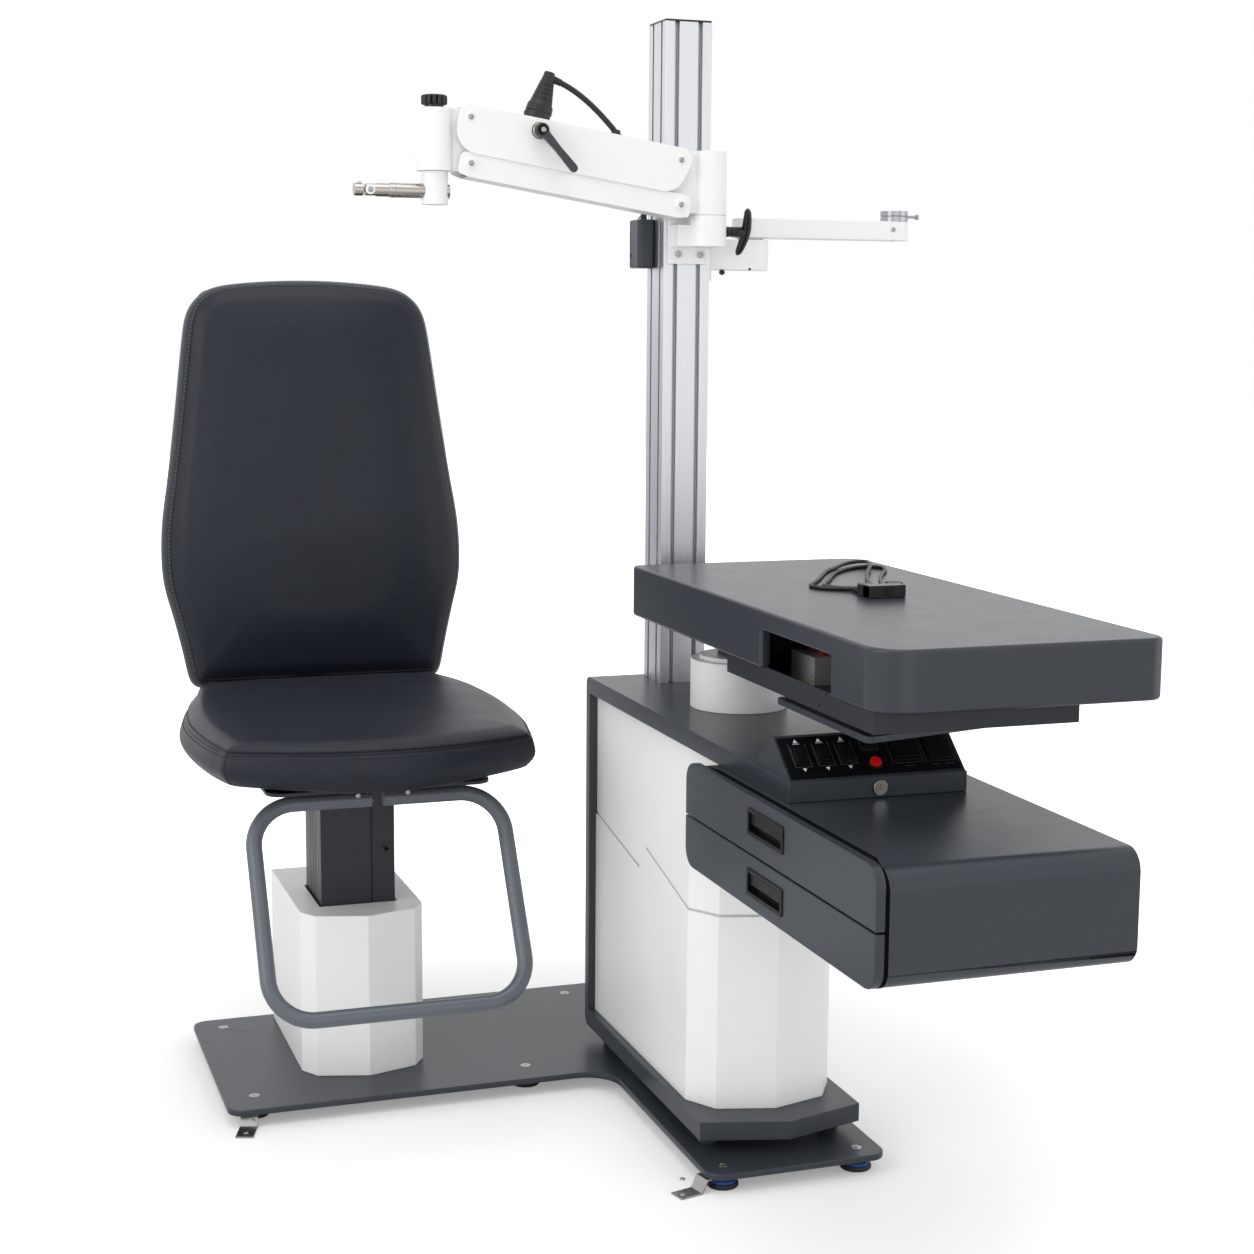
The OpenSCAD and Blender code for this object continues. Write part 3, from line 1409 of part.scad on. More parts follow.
module projector_bracket() {
    plate_half = projector_r;
    drop = 18;
    face = column_x + column_w / 2;
    color(white) difference() {
        union() {
            bar(face, face + bracket_plate_t, column_y - plate_half, column_y + plate_half,
                projector_z - drop, projector_z + projector_block_h);
            bar(face, projector_x, column_y - plate_half, column_y + plate_half, projector_z,
                projector_z + projector_block_h);
            translate([projector_x, column_y, projector_z]) cylinder(r = projector_r, h = projector_block_h);
        }
        translate([projector_x, column_y, projector_z + projector_block_h - 40])
            cylinder(r = projector_pin_r + fit, h = 40 + over);
    }
}

module projector_arm() {
    far_r = projector_r * 0.8;
    washer_r = 22;
    washer_h = projector_arm_z - projector_z - projector_block_h - gap;
    color(white) {
        translate([0, 0, projector_arm_z]) linear_extrude(projector_t) hull() {
            translate([projector_x, column_y]) circle(r = projector_r);
            translate([ring_x, column_y]) circle(r = far_r);
        }
        translate([projector_x, column_y, projector_arm_z - washer_h]) cylinder(r = washer_r, h = washer_h + over);
        translate([projector_x, column_y, projector_arm_z - 38]) cylinder(r = projector_pin_r, h = 38 + over);
    }
}

// Ring that holds a projector's post, with its radial thumb screw
module projector_ring() {
    ring_h = 18;
    wall = 4.5;
    groove = 1.5;
    screw_r = 2.5;
    screw_l = 22;
    head_r = 4.5;
    head_l = 5;
    outer = ring_bore_r + wall;
    color(steel) translate([ring_x, column_y, projector_arm_z + projector_t]) {
        difference() {
            cylinder(r = outer, h = ring_h);
            translate([0, 0, -over]) cylinder(r = ring_bore_r, h = ring_h + 2 * over);
            translate([0, 0, (ring_h - groove) / 2]) difference() {
                cylinder(r = outer + over, h = groove);
                translate([0, 0, -over]) cylinder(r = outer - groove, h = groove + 2 * over);
            }
        }
        translate([0, 0, ring_h / 2]) {
            rod_x(screw_r, ring_bore_r + wall / 2, outer + screw_l);
            rod_x(head_r, outer + screw_l - head_l, outer + screw_l);
        }
    }
}

// Box on the column's left side, and the short cable that leaves its top and enters a slot
module junction_box() {
    t = 28;
    w = 51;
    h = 79;
    r = 7;
    z0 = projector_z + 2;
    y0 = column_y + 3;
    cable_r = 3;
    face = column_x - column_w / 2;
    cable_x = face - t / 2;
    slot_y = column_y + column_w / 4;
    color(dark) prism(rounded(box_outline(face - t, y0, face, y0 + w), [r, 2, 2, r]), z0, z0 + h);
    color(black) swept_tube([[cable_x, slot_y, z0 + h], [cable_x, slot_y, z0 + h + 8],
        [cable_x + 2, slot_y, z0 + h + 16], [cable_x + 8, slot_y, z0 + h + 21], [face - 4, slot_y, z0 + h + 22],
        [face + slot_mouth, slot_y, z0 + h + 22]], cable_r, 8);
}

module lead_cord() {
    color(black) swept_tube(lead_route, lead_d / 2, 8);
}

// Right-angle plug at the start of the lead
module lead_plug() {
    p = lead_route[0];
    body = [22, 50, 18];
    head = [58, 24, 19];
    relief_l = 24;
    relief_r = 4.2;
    color(black) translate([p.x, p.y, table_top_z]) {
        translate([0, 0, p.z - table_top_z]) rotate([0, 0, 90]) rod_x(relief_r, -relief_l - over, 0);
        translate([0, -relief_l, 0]) bar(-body.x / 2, body.x / 2, -body.y, 0, 0, body.z);
        translate([-body.x / 2, -relief_l - body.y, 0]) cube(head);
    }
}

// Straight socket at the end of the lead
module lead_socket() {
    p = lead_route[len(lead_route) - 1];
    body = [22, 26, 16];
    color(black) translate([p.x, p.y, table_top_z])
        translate([0, gap, 0]) bar(-body.x / 2, body.x / 2, -body.y, -gap, 0, body.z);
}

base_plate();
levelling_feet();
floor_straps();
chair_cover();
lift_outer_tube();
lift_drive();
lift_inner_tube();
seat_frame();
seat_cushion();
back_bracket();
back_shell();
back_cushion();
footrest_loop();
swivel_lever();
console_frame();
lower_cover();
upper_cover();
power_supply();
column_profile();
column_cap();
pivot_drum();
swing_arm();
slide_rails();
slide_tray();
table_top();
lock_box();
control_housing();
control_panel();
rocker_1();
rocker_2();
rocker_3();
rocker_4();
square_rocker();
double_rocker();
red_button();
key_lock();
drawer_case();
upper_drawer();
lower_drawer();
upper_pull();
lower_pull();
arm_bracket();
t_handle();
arm_hub();
upper_link();
lower_link();
end_block();
clamp_lever();
arm_lead();
turning_knob();
spindle();
holder_rod();
rod_tip();
projector_bracket();
projector_arm();
projector_ring();
junction_box();
lead_cord();
lead_plug();
lead_socket();
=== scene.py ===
"""Looks of the eye examination unit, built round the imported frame. Sizes in the calls below are millimetres."""
import bpy
import bmesh
import json
from math import cos, exp, hypot, pi, radians, sin, sqrt
import numpy as np
from mathutils import Matrix, Vector

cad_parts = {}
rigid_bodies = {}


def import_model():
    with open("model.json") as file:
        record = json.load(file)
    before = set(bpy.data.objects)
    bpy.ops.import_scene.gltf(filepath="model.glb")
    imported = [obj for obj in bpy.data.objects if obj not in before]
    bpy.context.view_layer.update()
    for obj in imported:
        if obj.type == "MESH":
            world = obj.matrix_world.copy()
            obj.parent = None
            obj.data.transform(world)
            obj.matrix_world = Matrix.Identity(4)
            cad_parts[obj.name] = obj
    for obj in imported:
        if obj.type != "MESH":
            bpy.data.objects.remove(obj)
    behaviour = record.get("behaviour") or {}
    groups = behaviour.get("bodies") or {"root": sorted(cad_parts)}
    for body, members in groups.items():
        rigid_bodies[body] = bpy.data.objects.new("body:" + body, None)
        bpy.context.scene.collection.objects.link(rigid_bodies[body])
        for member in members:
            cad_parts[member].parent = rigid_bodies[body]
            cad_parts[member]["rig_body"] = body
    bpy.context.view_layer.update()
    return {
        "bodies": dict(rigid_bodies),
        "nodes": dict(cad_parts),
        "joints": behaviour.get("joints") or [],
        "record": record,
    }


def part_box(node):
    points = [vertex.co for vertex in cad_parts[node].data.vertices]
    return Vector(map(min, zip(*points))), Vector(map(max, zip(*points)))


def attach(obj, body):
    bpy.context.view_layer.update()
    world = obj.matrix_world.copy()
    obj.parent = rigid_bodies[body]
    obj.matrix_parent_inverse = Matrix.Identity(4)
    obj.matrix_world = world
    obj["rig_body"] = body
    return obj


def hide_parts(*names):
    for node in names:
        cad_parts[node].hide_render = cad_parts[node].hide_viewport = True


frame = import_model()
NODES = frame["nodes"]
BODY_OF = {n: o["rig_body"] for n, o in NODES.items()}
SLOT_OF = {p["node"]: p["material_slot"] for p in frame["record"]["subparts"]}
MM = 0.001
SCENE = bpy.context.scene
COLLECTION = SCENE.collection

# Camera, fitted to the photograph's viewing angle
CAM_PLACE = (-1.3280, -3.6164, 1.2827)
CAM_YAW, CAM_PITCH, CAM_ROLL = 18.9546, 8.4115, 0.4144
CAM_LENS, CAM_SENSOR = 60.31, 36.0


def make_camera():
    camera = bpy.data.cameras.new("camera")
    camera.sensor_fit, camera.sensor_width, camera.lens = "HORIZONTAL", CAM_SENSOR, CAM_LENS
    camera.clip_end = 60
    ob = bpy.data.objects.new("camera", camera)
    COLLECTION.objects.link(ob)
    place = Matrix.Translation(CAM_PLACE)
    for angle, axis in ((-CAM_YAW, "Z"), (90 - CAM_PITCH, "X"), (CAM_ROLL, "Z")):
        place = place @ Matrix.Rotation(radians(angle), 4, axis)
    ob.matrix_world = place
    SCENE.camera = ob


make_camera()


# Materials
class Shade:
    """A node material with short ways to add textures."""

    def __init__(self, name, colour, rough, metallic=0.0, specular=0.5, **sockets):
        self.mat = bpy.data.materials.new(name)
        self.mat.use_nodes = True
        self.tree = self.mat.node_tree
        self.bsdf = self.tree.nodes["Principled BSDF"]
        self.colour, self.rough = linear(colour), rough
        for socket, value in (("Base Color", (*self.colour, 1)), ("Roughness", rough), ("Metallic", metallic),
                              ("Specular IOR Level", specular), *sockets.items()):
            self.bsdf.inputs[socket.replace("_", " ")].default_value = value
        self.place = self.node("TexCoord").outputs["Object"]

    def node(self, kind, **inputs):
        n = self.tree.nodes.new("ShaderNode" + kind)
        for key, value in inputs.items():
            if hasattr(value, "is_output"):
                self.tree.links.new(value, n.inputs[key])
            else:
                n.inputs[key].default_value = value
        return n

    def stretch(self, scale):
        return self.node("Mapping", Vector=self.place, Scale=scale).outputs[0]

    def noise(self, scale, detail, rough, place=None, distort=0.0):
        return self.node("TexNoise", Vector=place or self.place, Scale=scale, Detail=detail,
                         Roughness=rough, Distortion=distort).outputs["Fac"]

    def cells(self, scale, place, feature="F1", smooth=None):
        n = self.node("TexVoronoi", Vector=place, Scale=scale)
        n.feature = feature
        if smooth is not None:
            n.inputs["Smoothness"].default_value = smooth
        return n.outputs["Distance"]

    def span(self, fac, low, high, from_low=0.3, from_high=0.7):
        n = self.node("MapRange", Value=fac)
        for key, value in zip(("From Min", "From Max", "To Min", "To Max"), (from_low, from_high, low, high)):
            n.inputs[key].default_value = value
        return n.outputs[0]

    def tint(self, fac, dark, light):
        """The base colour varies between two shares of itself."""
        n = self.node("ValToRGB", Fac=fac)
        for element, at, share in zip(n.color_ramp.elements, (0.3, 0.7), (dark, light)):
            element.position = at
            element.color = (*[min(1, c * share) for c in self.colour], 1)
        self.wire("Base Color", n.outputs["Color"])

    def gloss(self, fac, less, more):
        """The roughness varies about its middle."""
        self.wire("Roughness", self.span(fac, self.rough - less, self.rough + more))

    def wire(self, socket, value):
        self.tree.links.new(value, self.bsdf.inputs[socket])

    def bumps(self, *layers):
        """Layers of (height, strength, distance)."""
        normal = None
        for height, strength, distance in layers:
            below = {"Normal": normal} if normal else {}
            normal = self.node("Bump", Height=height, Strength=strength, Distance=distance, **below).outputs["Normal"]
        self.wire("Normal", normal)


def linear(rgb):
    return [(c / 255 / 12.92) if c <= 10 else ((c / 255 + 0.055) / 1.055) ** 2.4 for c in rgb]


def paint(name, colour, rough, powder=0.04, speck=0.014, **more):
    """Powder coat: a fine pebbled skin, faint clouds, and gloss that varies a little."""
    s = Shade(name, colour, rough, **more)
    s.tint(s.noise(5, 3, 0.6), 1 - speck, 1 + speck)
    s.gloss(s.noise(30, 2, 0.5), 0.015, 0.015)
    s.bumps((s.noise(800, 1, 0.4), powder, 0.0003), (s.noise(120, 1, 0.4), powder * 0.25, 0.0006))
    return s.mat


def metal(name, colour, rough, streak, depth):
    """Metal with fine drawn lines along one axis."""
    s = Shade(name, colour, rough, metallic=1.0)
    lines = s.noise(1.0, 4, 0.65, s.stretch(streak))
    s.tint(lines, 0.95, 1.03)
    s.gloss(lines, 0.03, 0.05)
    s.bumps((lines, depth, 0.0002))
    return s.mat


def plastic(name, colour, rough, grain=500, depth=0.12, **more):
    """Moulded plastic with a spark-eroded grain."""
    s = Shade(name, colour, rough, **more)
    fine = s.noise(grain, 3, 0.6)
    s.tint(s.noise(24, 3, 0.5), 0.9, 1.1)
    s.gloss(fine, 0.05, 0.07)
    s.bumps((fine, depth, 0.0003))
    return s.mat


def leather(name, colour, rough):
    """Leatherette: pebbles with soft valleys, fine pores, and broad wear in tone and gloss."""
    s = Shade(name, colour, rough, specular=0.26, Sheen_Weight=0.02, Sheen_Roughness=0.4)
    warp = s.node("MixRGB", Fac=0.012, Color1=s.place,
                  Color2=s.node("TexNoise", Vector=s.place, Scale=60.0).outputs["Color"]).outputs[0]
    s.tint(s.noise(7, 4, 0.6), 0.94, 1.05)
    s.gloss(s.noise(12, 2, 0.5), 0.02, 0.02)
    s.bumps((s.cells(620, warp, "SMOOTH_F1", 0.6), 0.42, 0.0006), (s.cells(1500, warp), 0.14, 0.0003),
            (s.noise(11, 2, 0.5, distort=0.5), 0.03, 0.006))
    return s.mat


def board(name, colour, rough):
    """Fine-structured laminate of the table top."""
    s = Shade(name, colour, rough, specular=0.4)
    s.tint(s.noise(3, 2, 0.5), 0.985, 1.015)
    s.gloss(s.noise(20, 2, 0.5), 0.01, 0.015)
    s.bumps((s.noise(700, 1, 0.4), 0.04, 0.0003), (s.noise(90, 1, 0.4), 0.01, 0.0006))
    return s.mat


SLATE = paint("slate_paint", (54, 60, 67), 0.31, specular=0.35)
# Darker copy of the slate paint for the parts under the seat and the table: painted shade
SLATE_SHADED = paint("slate_painted_shade", (40, 44, 50), 0.36, specular=0.35)
WHITE = paint("white_paint", (247, 247, 246), 0.36, 0.03, 0.008)
RAIL = paint("rail_paint", (92, 98, 106), 0.34, 0.05)
LOCK_PLATE = paint("lock_plate", (176, 174, 169), 0.42)
# Grey of the backing seen in the covers' parting gap: painted shade
PARTING_SHADE = paint("parting_painted_shade", (206, 207, 207), 0.6)
TABLE = board("table_board", (53, 58, 65), 0.30)
LEATHER = leather("leatherette", (30, 35, 44), 0.38)
ALU = metal("aluminium_profile", (220, 222, 226), 0.34, (420, 420, 4), 0.12)
ALU_CUT = metal("aluminium_turned", (170, 172, 176), 0.30, (60, 60, 700), 0.05)
ZINC = metal("zinc_steel", (172, 171, 169), 0.28, (90, 90, 90), 0.03)
STEEL = metal("polished_steel", (176, 171, 166), 0.22, (6, 120, 120), 0.01)
BRONZE = metal("lever_steel", (92, 86, 80), 0.42, (60, 60, 60), 0.06)
SEAM = plastic("seam_gap", (14, 15, 18), 0.6, 2500, 0.2)
THREAD = plastic("stitch_thread", (92, 96, 102), 0.5, 2500, 0.3)
RUBBER = plastic("black_rubber", (20, 20, 22), 0.62, 900, 0.2)
BLACK = plastic("black_plastic", (13, 14, 16), 0.27, 700, 0.04)
MATT = plastic("black_matt", (18, 19, 21), 0.42, 700, 0.08)
PANEL = plastic("panel_film", (12, 13, 15), 0.24, 1100, 0.04)
SWITCH = plastic("switch_plastic", (15, 16, 18), 0.30, 1200, 0.05)
GREY = plastic("grey_plastic", (66, 70, 76), 0.46)
GRIP = plastic("lever_grip", (46, 49, 54), 0.36, 700, 0.05)
PULL = plastic("pull_black", (9, 9, 11), 0.30, 1200, 0.02, specular=0.22)
# Near-black for hole mouths and the gap behind the drawer fronts: painted shade
RECESS_SHADE = plastic("recess_painted_shade", (3, 3, 4), 0.8, specular=0.06)
RED = plastic("red_plastic", (222, 18, 20), 0.30, 1200, 0.04)
BLUE = plastic("blue_ring", (18, 74, 150), 0.34, 1200, 0.05)
GREEN = plastic("terminal_green", (90, 150, 40), 0.40, 1200, 0.05)
MARK = plastic("white_mark", (226, 228, 230), 0.45, 1500, 0.05)
LINE = plastic("grey_line", (70, 73, 78), 0.45, 1500, 0.05)


# Directions
FRONT, BACK, LEFT, RIGHT, UP = (0, -1, 0), (0, 1, 0), (-1, 0, 0), (1, 0, 0), (0, 0, 1)
HERE = Matrix()

# Least angle of the edges that a skin breaks: CREASE takes in folded sheet, ROUNDED leaves rounded edges alone
CREASE, PLAIN, ROUNDED = 9, 20, 35


# Mesh helpers
def place(ob, body, slot, replaces=()):
    """Says which body a piece moves with and hides the nodes it stands for; slot is not used."""
    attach(ob, body)
    if replaces:
        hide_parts(*replaces)
    return ob


def mesh_object(name, verts, faces, mats=()):
    mesh = bpy.data.meshes.new(name)
    mesh.from_pydata([tuple(v) for v in verts], [], faces)
    for m in mats:
        mesh.materials.append(m)
    ob = bpy.data.objects.new(name, mesh)
    COLLECTION.objects.link(ob)
    return ob


def turn_outwards(mesh):
    bm = bmesh.new()
    bm.from_mesh(mesh)
    bmesh.ops.recalc_face_normals(bm, faces=bm.faces)
    bm.to_mesh(mesh)
    bm.free()


def all_smooth(mesh):
    mesh.polygons.foreach_set("use_smooth", [True] * len(mesh.polygons))


def finish_mesh(ob, bevel, segments, angle, smooth=38, flat_faces=True):
    """Bevels the sharp edges, keeps the large faces flat and applies it all."""
    all_smooth(ob.data)
    if bevel:
        m = ob.modifiers.new("Bevel", "BEVEL")
        m.width, m.segments, m.limit_method, m.angle_limit = bevel * MM, segments, "ANGLE", radians(angle)
        m.use_clamp_overlap = False
        m.miter_outer = "MITER_ARC"
        apply_all(ob)
        all_smooth(ob.data)
    ob.data.set_sharp_from_angle(angle=radians(smooth))
    if flat_faces:
        m = ob.modifiers.new("Weights", "WEIGHTED_NORMAL")
        m.keep_sharp = True
        apply_all(ob)


def apply_all(ob):
    bpy.context.view_layer.update()
    graph = bpy.context.evaluated_depsgraph_get()
    mesh = bpy.data.meshes.new_from_object(ob.evaluated_get(graph), depsgraph=graph)
    ob.modifiers.clear()
    old, name = ob.data, ob.data.name
    ob.data = mesh
    bpy.data.meshes.remove(old)
    mesh.name = name


def skin(node, mat, bevel, angle=PLAIN, segments=2, second=None):
    """A node's shape with its edges broken, in a material of its own; second is a material and where it goes."""
    mesh = NODES[node].data.copy()
    bm = bmesh.new()
    bm.from_mesh(mesh)
    bmesh.ops.remove_doubles(bm, verts=bm.verts, dist=1e-5)
    bmesh.ops.dissolve_limit(bm, angle_limit=radians(0.4), verts=bm.verts, edges=bm.edges)
    for face in bm.faces:
        face.material_index = int(second is not None and second[1](*(face.calc_center_median() / MM)))
    bm.to_mesh(mesh)
    bm.free()
    mesh.materials.clear()
    for m in (mat, second[0]) if second else (mat,):
        mesh.materials.append(m)
    ob = bpy.data.objects.new(node + "_skin", mesh)
    COLLECTION.objects.link(ob)
    finish_mesh(ob, bevel, segments, angle, 60 if angle == CREASE else 38)
    return place(ob, BODY_OF[node], SLOT_OF[node], (node,))


def axes(at, z_axis, x_axis=None):
    z = Vector(z_axis).normalized()
    if x_axis is None:
        x_axis = RIGHT if abs(z.x) < 0.9 else BACK
    x = Vector(x_axis)
    x = (x - z * x.dot(z)).normalized()
    m = Matrix((x, z.cross(x), z)).transposed().to_4x4()
    m.translation = Vector(at)
    return m


def hexagon(angle):
    return cos(pi / 6) / cos(angle % (pi / 3) - pi / 6)


def cross(width):
    def shape(angle):
        a = (angle + pi / 4) % (pi / 2) - pi / 4
        return min(1 / cos(a), width / max(abs(sin(a)), 1e-6))
    return shape


def lobes(angle):
    """A knurled knob's rim."""
    return 1 - 0.16 * (0.5 - 0.5 * cos(14 * angle)) ** 3


def walls(rings):
    """Faces between neighbouring rings of point numbers; a ring of one number is a tip."""
    faces = []
    for lo, hi in zip(rings, rings[1:]):
        n = max(len(lo), len(hi))
        for i in range(n):
            j = (i + 1) % n
            corners = lo[i % len(lo)], lo[j % len(lo)], hi[j % len(hi)], hi[i % len(hi)]
            faces.append(tuple(dict.fromkeys(corners)))
    return faces


class Part:
    """Solids in millimetres that end up as one piece."""

    def __init__(self, name):
        self.name, self.verts, self.faces, self.slots, self.mats = name, [], [], [], []

    def add(self, verts, faces, mat, matrix=HERE):
        if mat not in self.mats:
            self.mats.append(mat)
        base = len(self.verts)
        self.verts += [matrix @ Vector(v) * MM for v in verts]
        self.faces += [tuple(base + i for i in f) for f in faces]
        self.slots += [self.mats.index(mat)] * len(faces)
        return self

    def lathe(self, profile, mat, at=(0, 0, 0), axis=UP, x_axis=None, steps=40, closed=True):
        """Profile of (radius, height) or (radius, height, shape), upwards; closed ones start and end on the axis."""
        if closed:
            first, last = profile[0], profile[-1]
            profile = [(0, first[1])] * (first[0] > 0) + profile + [(0, last[1])] * (last[0] > 0)
        verts, rings = [], []
        for r, z, *shape in profile:
            count = steps if r else 1
            rings.append(range(len(verts), len(verts) + count))
            for i in range(count):
                a = 2 * pi * i / steps
                k = r * (shape[0](a) if shape else 1)
                verts.append((k * cos(a), k * sin(a), z))
        return self.add(verts, walls(rings), mat, axes(at, axis, x_axis))

    def slab(self, outline, z0, z1, mat, matrix=HERE):
        n = len(outline)
        low, high = range(n), range(n, 2 * n)
        verts = [(x, y, z) for z in (z0, z1) for x, y in outline]
        return self.add(verts, [tuple(low[::-1]), tuple(high)] + walls([low, high]), mat, matrix)

    def box(self, low, high, mat, matrix=HERE):
        (x0, y0, z0), (x1, y1, z1) = low, high
        return self.slab([(x0, y0), (x1, y0), (x1, y1), (x0, y1)], z0, z1, mat, matrix)

    def tube(self, path, radius, mat, steps=16, matrix=HERE):
        """radius is one number, or one for each point."""
        pts = [Vector(p) for p in path]
        radii = radius if hasattr(radius, "__len__") else [radius] * len(pts)
        verts, up = [], None
        for p, r, before, after in zip(pts, radii, pts[:1] + pts, pts[1:] + pts[-1:]):
            t = (after - before).normalized()
            if up is None:
                up = Vector(UP if abs(t.z) < 0.9 else BACK)
            up = (up - t * up.dot(t)).normalized()
            side = t.cross(up)
            for j in range(steps):
                a = 2 * pi * j / steps
                verts.append(p + (side * cos(a) + up * sin(a)) * r)
        rings = [range(i * steps, (i + 1) * steps) for i in range(len(pts))]
        return self.add(verts, walls(rings) + [tuple(rings[0][::-1]), tuple(rings[-1])], mat, matrix)

    def make(self, body, slot, replaces=(), bevel=0.0, segments=2, angle=ROUNDED, flat_faces=True):
        ob = mesh_object(self.name, self.verts, self.faces, self.mats)
        ob.data.polygons.foreach_set("material_index", self.slots)
        turn_outwards(ob.data)
        finish_mesh(ob, bevel, segments, angle, flat_faces=flat_faces)
        return place(ob, body, slot, replaces)


def round_box(x0, y0, x1, y1, r, n=8):
    """Outline of a rectangle with round corners."""
    corners = ((x1 - r, y1 - r, 0), (x0 + r, y1 - r, 90), (x0 + r, y0 + r, 180), (x1 - r, y0 + r, 270))
    return [(x + r * cos(radians(a + 90 * i / n)), y + r * sin(radians(a + 90 * i / n)))
            for x, y, a in corners for i in range(n + 1)]


def between(a, b, c, d, t):
    """Smooth curve from b to c, led by the points before and after."""
    return 0.5 * (2 * b + (c - a) * t + (2 * a - 5 * b + 4 * c - d) * t ** 2 + (3 * b - a - 3 * c + d) * t ** 3)


def smooth_path(points, step):
    """Curve through the points, sampled about every step."""
    p = np.array(points, float)
    p = np.vstack([2 * p[0] - p[1], p, 2 * p[-1] - p[-2]])
    out = [p[1]]
    for i in range(len(p) - 3):
        n = max(2, int(np.linalg.norm(p[i + 2] - p[i + 1]) / step) + 1)
        out += [between(*p[i:i + 4], t) for t in np.arange(1, n + 1) / n]
    return np.array(out)


def spline(values, s):
    """Curve through evenly spaced values, for s from 0 to 1."""
    v = np.array(values, float)
    v = np.concatenate([[2 * v[0] - v[1]], v, [2 * v[-1] - v[-2]]])
    t = unit(np.asarray(s, float)) * (len(values) - 1)
    i = np.minimum(t.astype(int), len(values) - 2)
    return between(v[i], v[i + 1], v[i + 2], v[i + 3], t - i)


def unit(v):
    return np.clip(v, 0, 1)


def pan_screw(part, at, axis, r, h, washer=0.0, turn=0.3):
    """Domed zinc screw head with a cross recess, on an optional white washer of that radius."""
    up = 0.0
    if washer:
        part.lathe([(washer, -0.2), (washer, 0.9), (washer - 0.4, 1.2), (r * 0.6, 1.2)], WHITE, at, axis, steps=36)
        up = 1.0
    x_axis = axes((0, 0, 0), axis).to_3x3() @ Vector((cos(turn), sin(turn), 0))
    c = cross(0.24)
    part.lathe([(r * 0.98, up - 0.2), (r, up + h * 0.25), (r * 0.93, up + h * 0.62), (r * 0.75, up + h * 0.9),
                (r * 0.55, up + h, c), (r * 0.47, up + h * 0.98, c), (r * 0.40, up + h * 0.35, c),
                (0, up + h * 0.3)], ZINC, at, axis, x_axis, steps=48)


def socket_screw(part, at, axis, r, h, mat=ZINC):
    """Cap screw with a hexagon socket."""
    part.lathe([(r, -0.2), (r, h - 0.5), (r - 0.5, h), (r * 0.58, h, hexagon), (r * 0.52, h - 0.2, hexagon),
                (r * 0.52, h * 0.35, hexagon), (0, h * 0.3)], mat, at, axis, steps=36)


def hole(part, at, axis, r, sunk=0.5, proud=0.12, steps=16):
    """A drilled hole's mouth as a black disc: painted shade for the dark inside of the hole."""
    part.lathe([(r, -sunk), (r, proud)], RECESS_SHADE, at, axis, steps=steps)


def islands(node):
    """Boxes of a node's separate solids, in millimetres."""
    bm = bmesh.new()
    bm.from_mesh(NODES[node].data)
    bmesh.ops.remove_doubles(bm, verts=bm.verts, dist=1e-5)
    seen, out = set(), []
    for v in bm.verts:
        if v in seen:
            continue
        solid, fresh = {v}, {v}
        while fresh:
            fresh = {e.other_vert(a) for a in fresh for e in a.link_edges} - solid
            solid |= fresh
        seen |= solid
        co = np.array([tuple(a.co) for a in solid]) / MM
        out.append((co.min(0), co.max(0)))
    bm.free()
    return out


def box_mm(node):
    low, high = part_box(node)
    return np.array(low) / MM, np.array(high) / MM


# Loose lead on the table, first of the pieces. Points without a height lie flat on it
LEAD_FLAT = 888
LEAD_ROUTE = [
    (-21, -837, 889.5), (-21, -831, 889.5), (-24, -824, 889), (-31, -818, 888.5), (-42, -811), (-57, -797),
    (-61, -769), (-43, -740), (-19, -702), (9, -654), (37, -609), (68, -573), (93, -550, 890), (115, -546, 893),
    (127, -560, 895), (122, -585, 895), (108, -616, 893), (85, -656, 890), (63, -702), (45, -745), (32, -780),
    (15, -808), (-10, -815), (-33, -802), (-42, -779), (-32, -754), (-9, -718), (17, -672), (45, -629), (75, -596),
    (106, -575), (132, -573), (142, -592), (132, -623), (106, -665), (79, -715), (57, -765), (43, -804), (34, -829),
    (34, -837)]
LEAD_D = 6.0


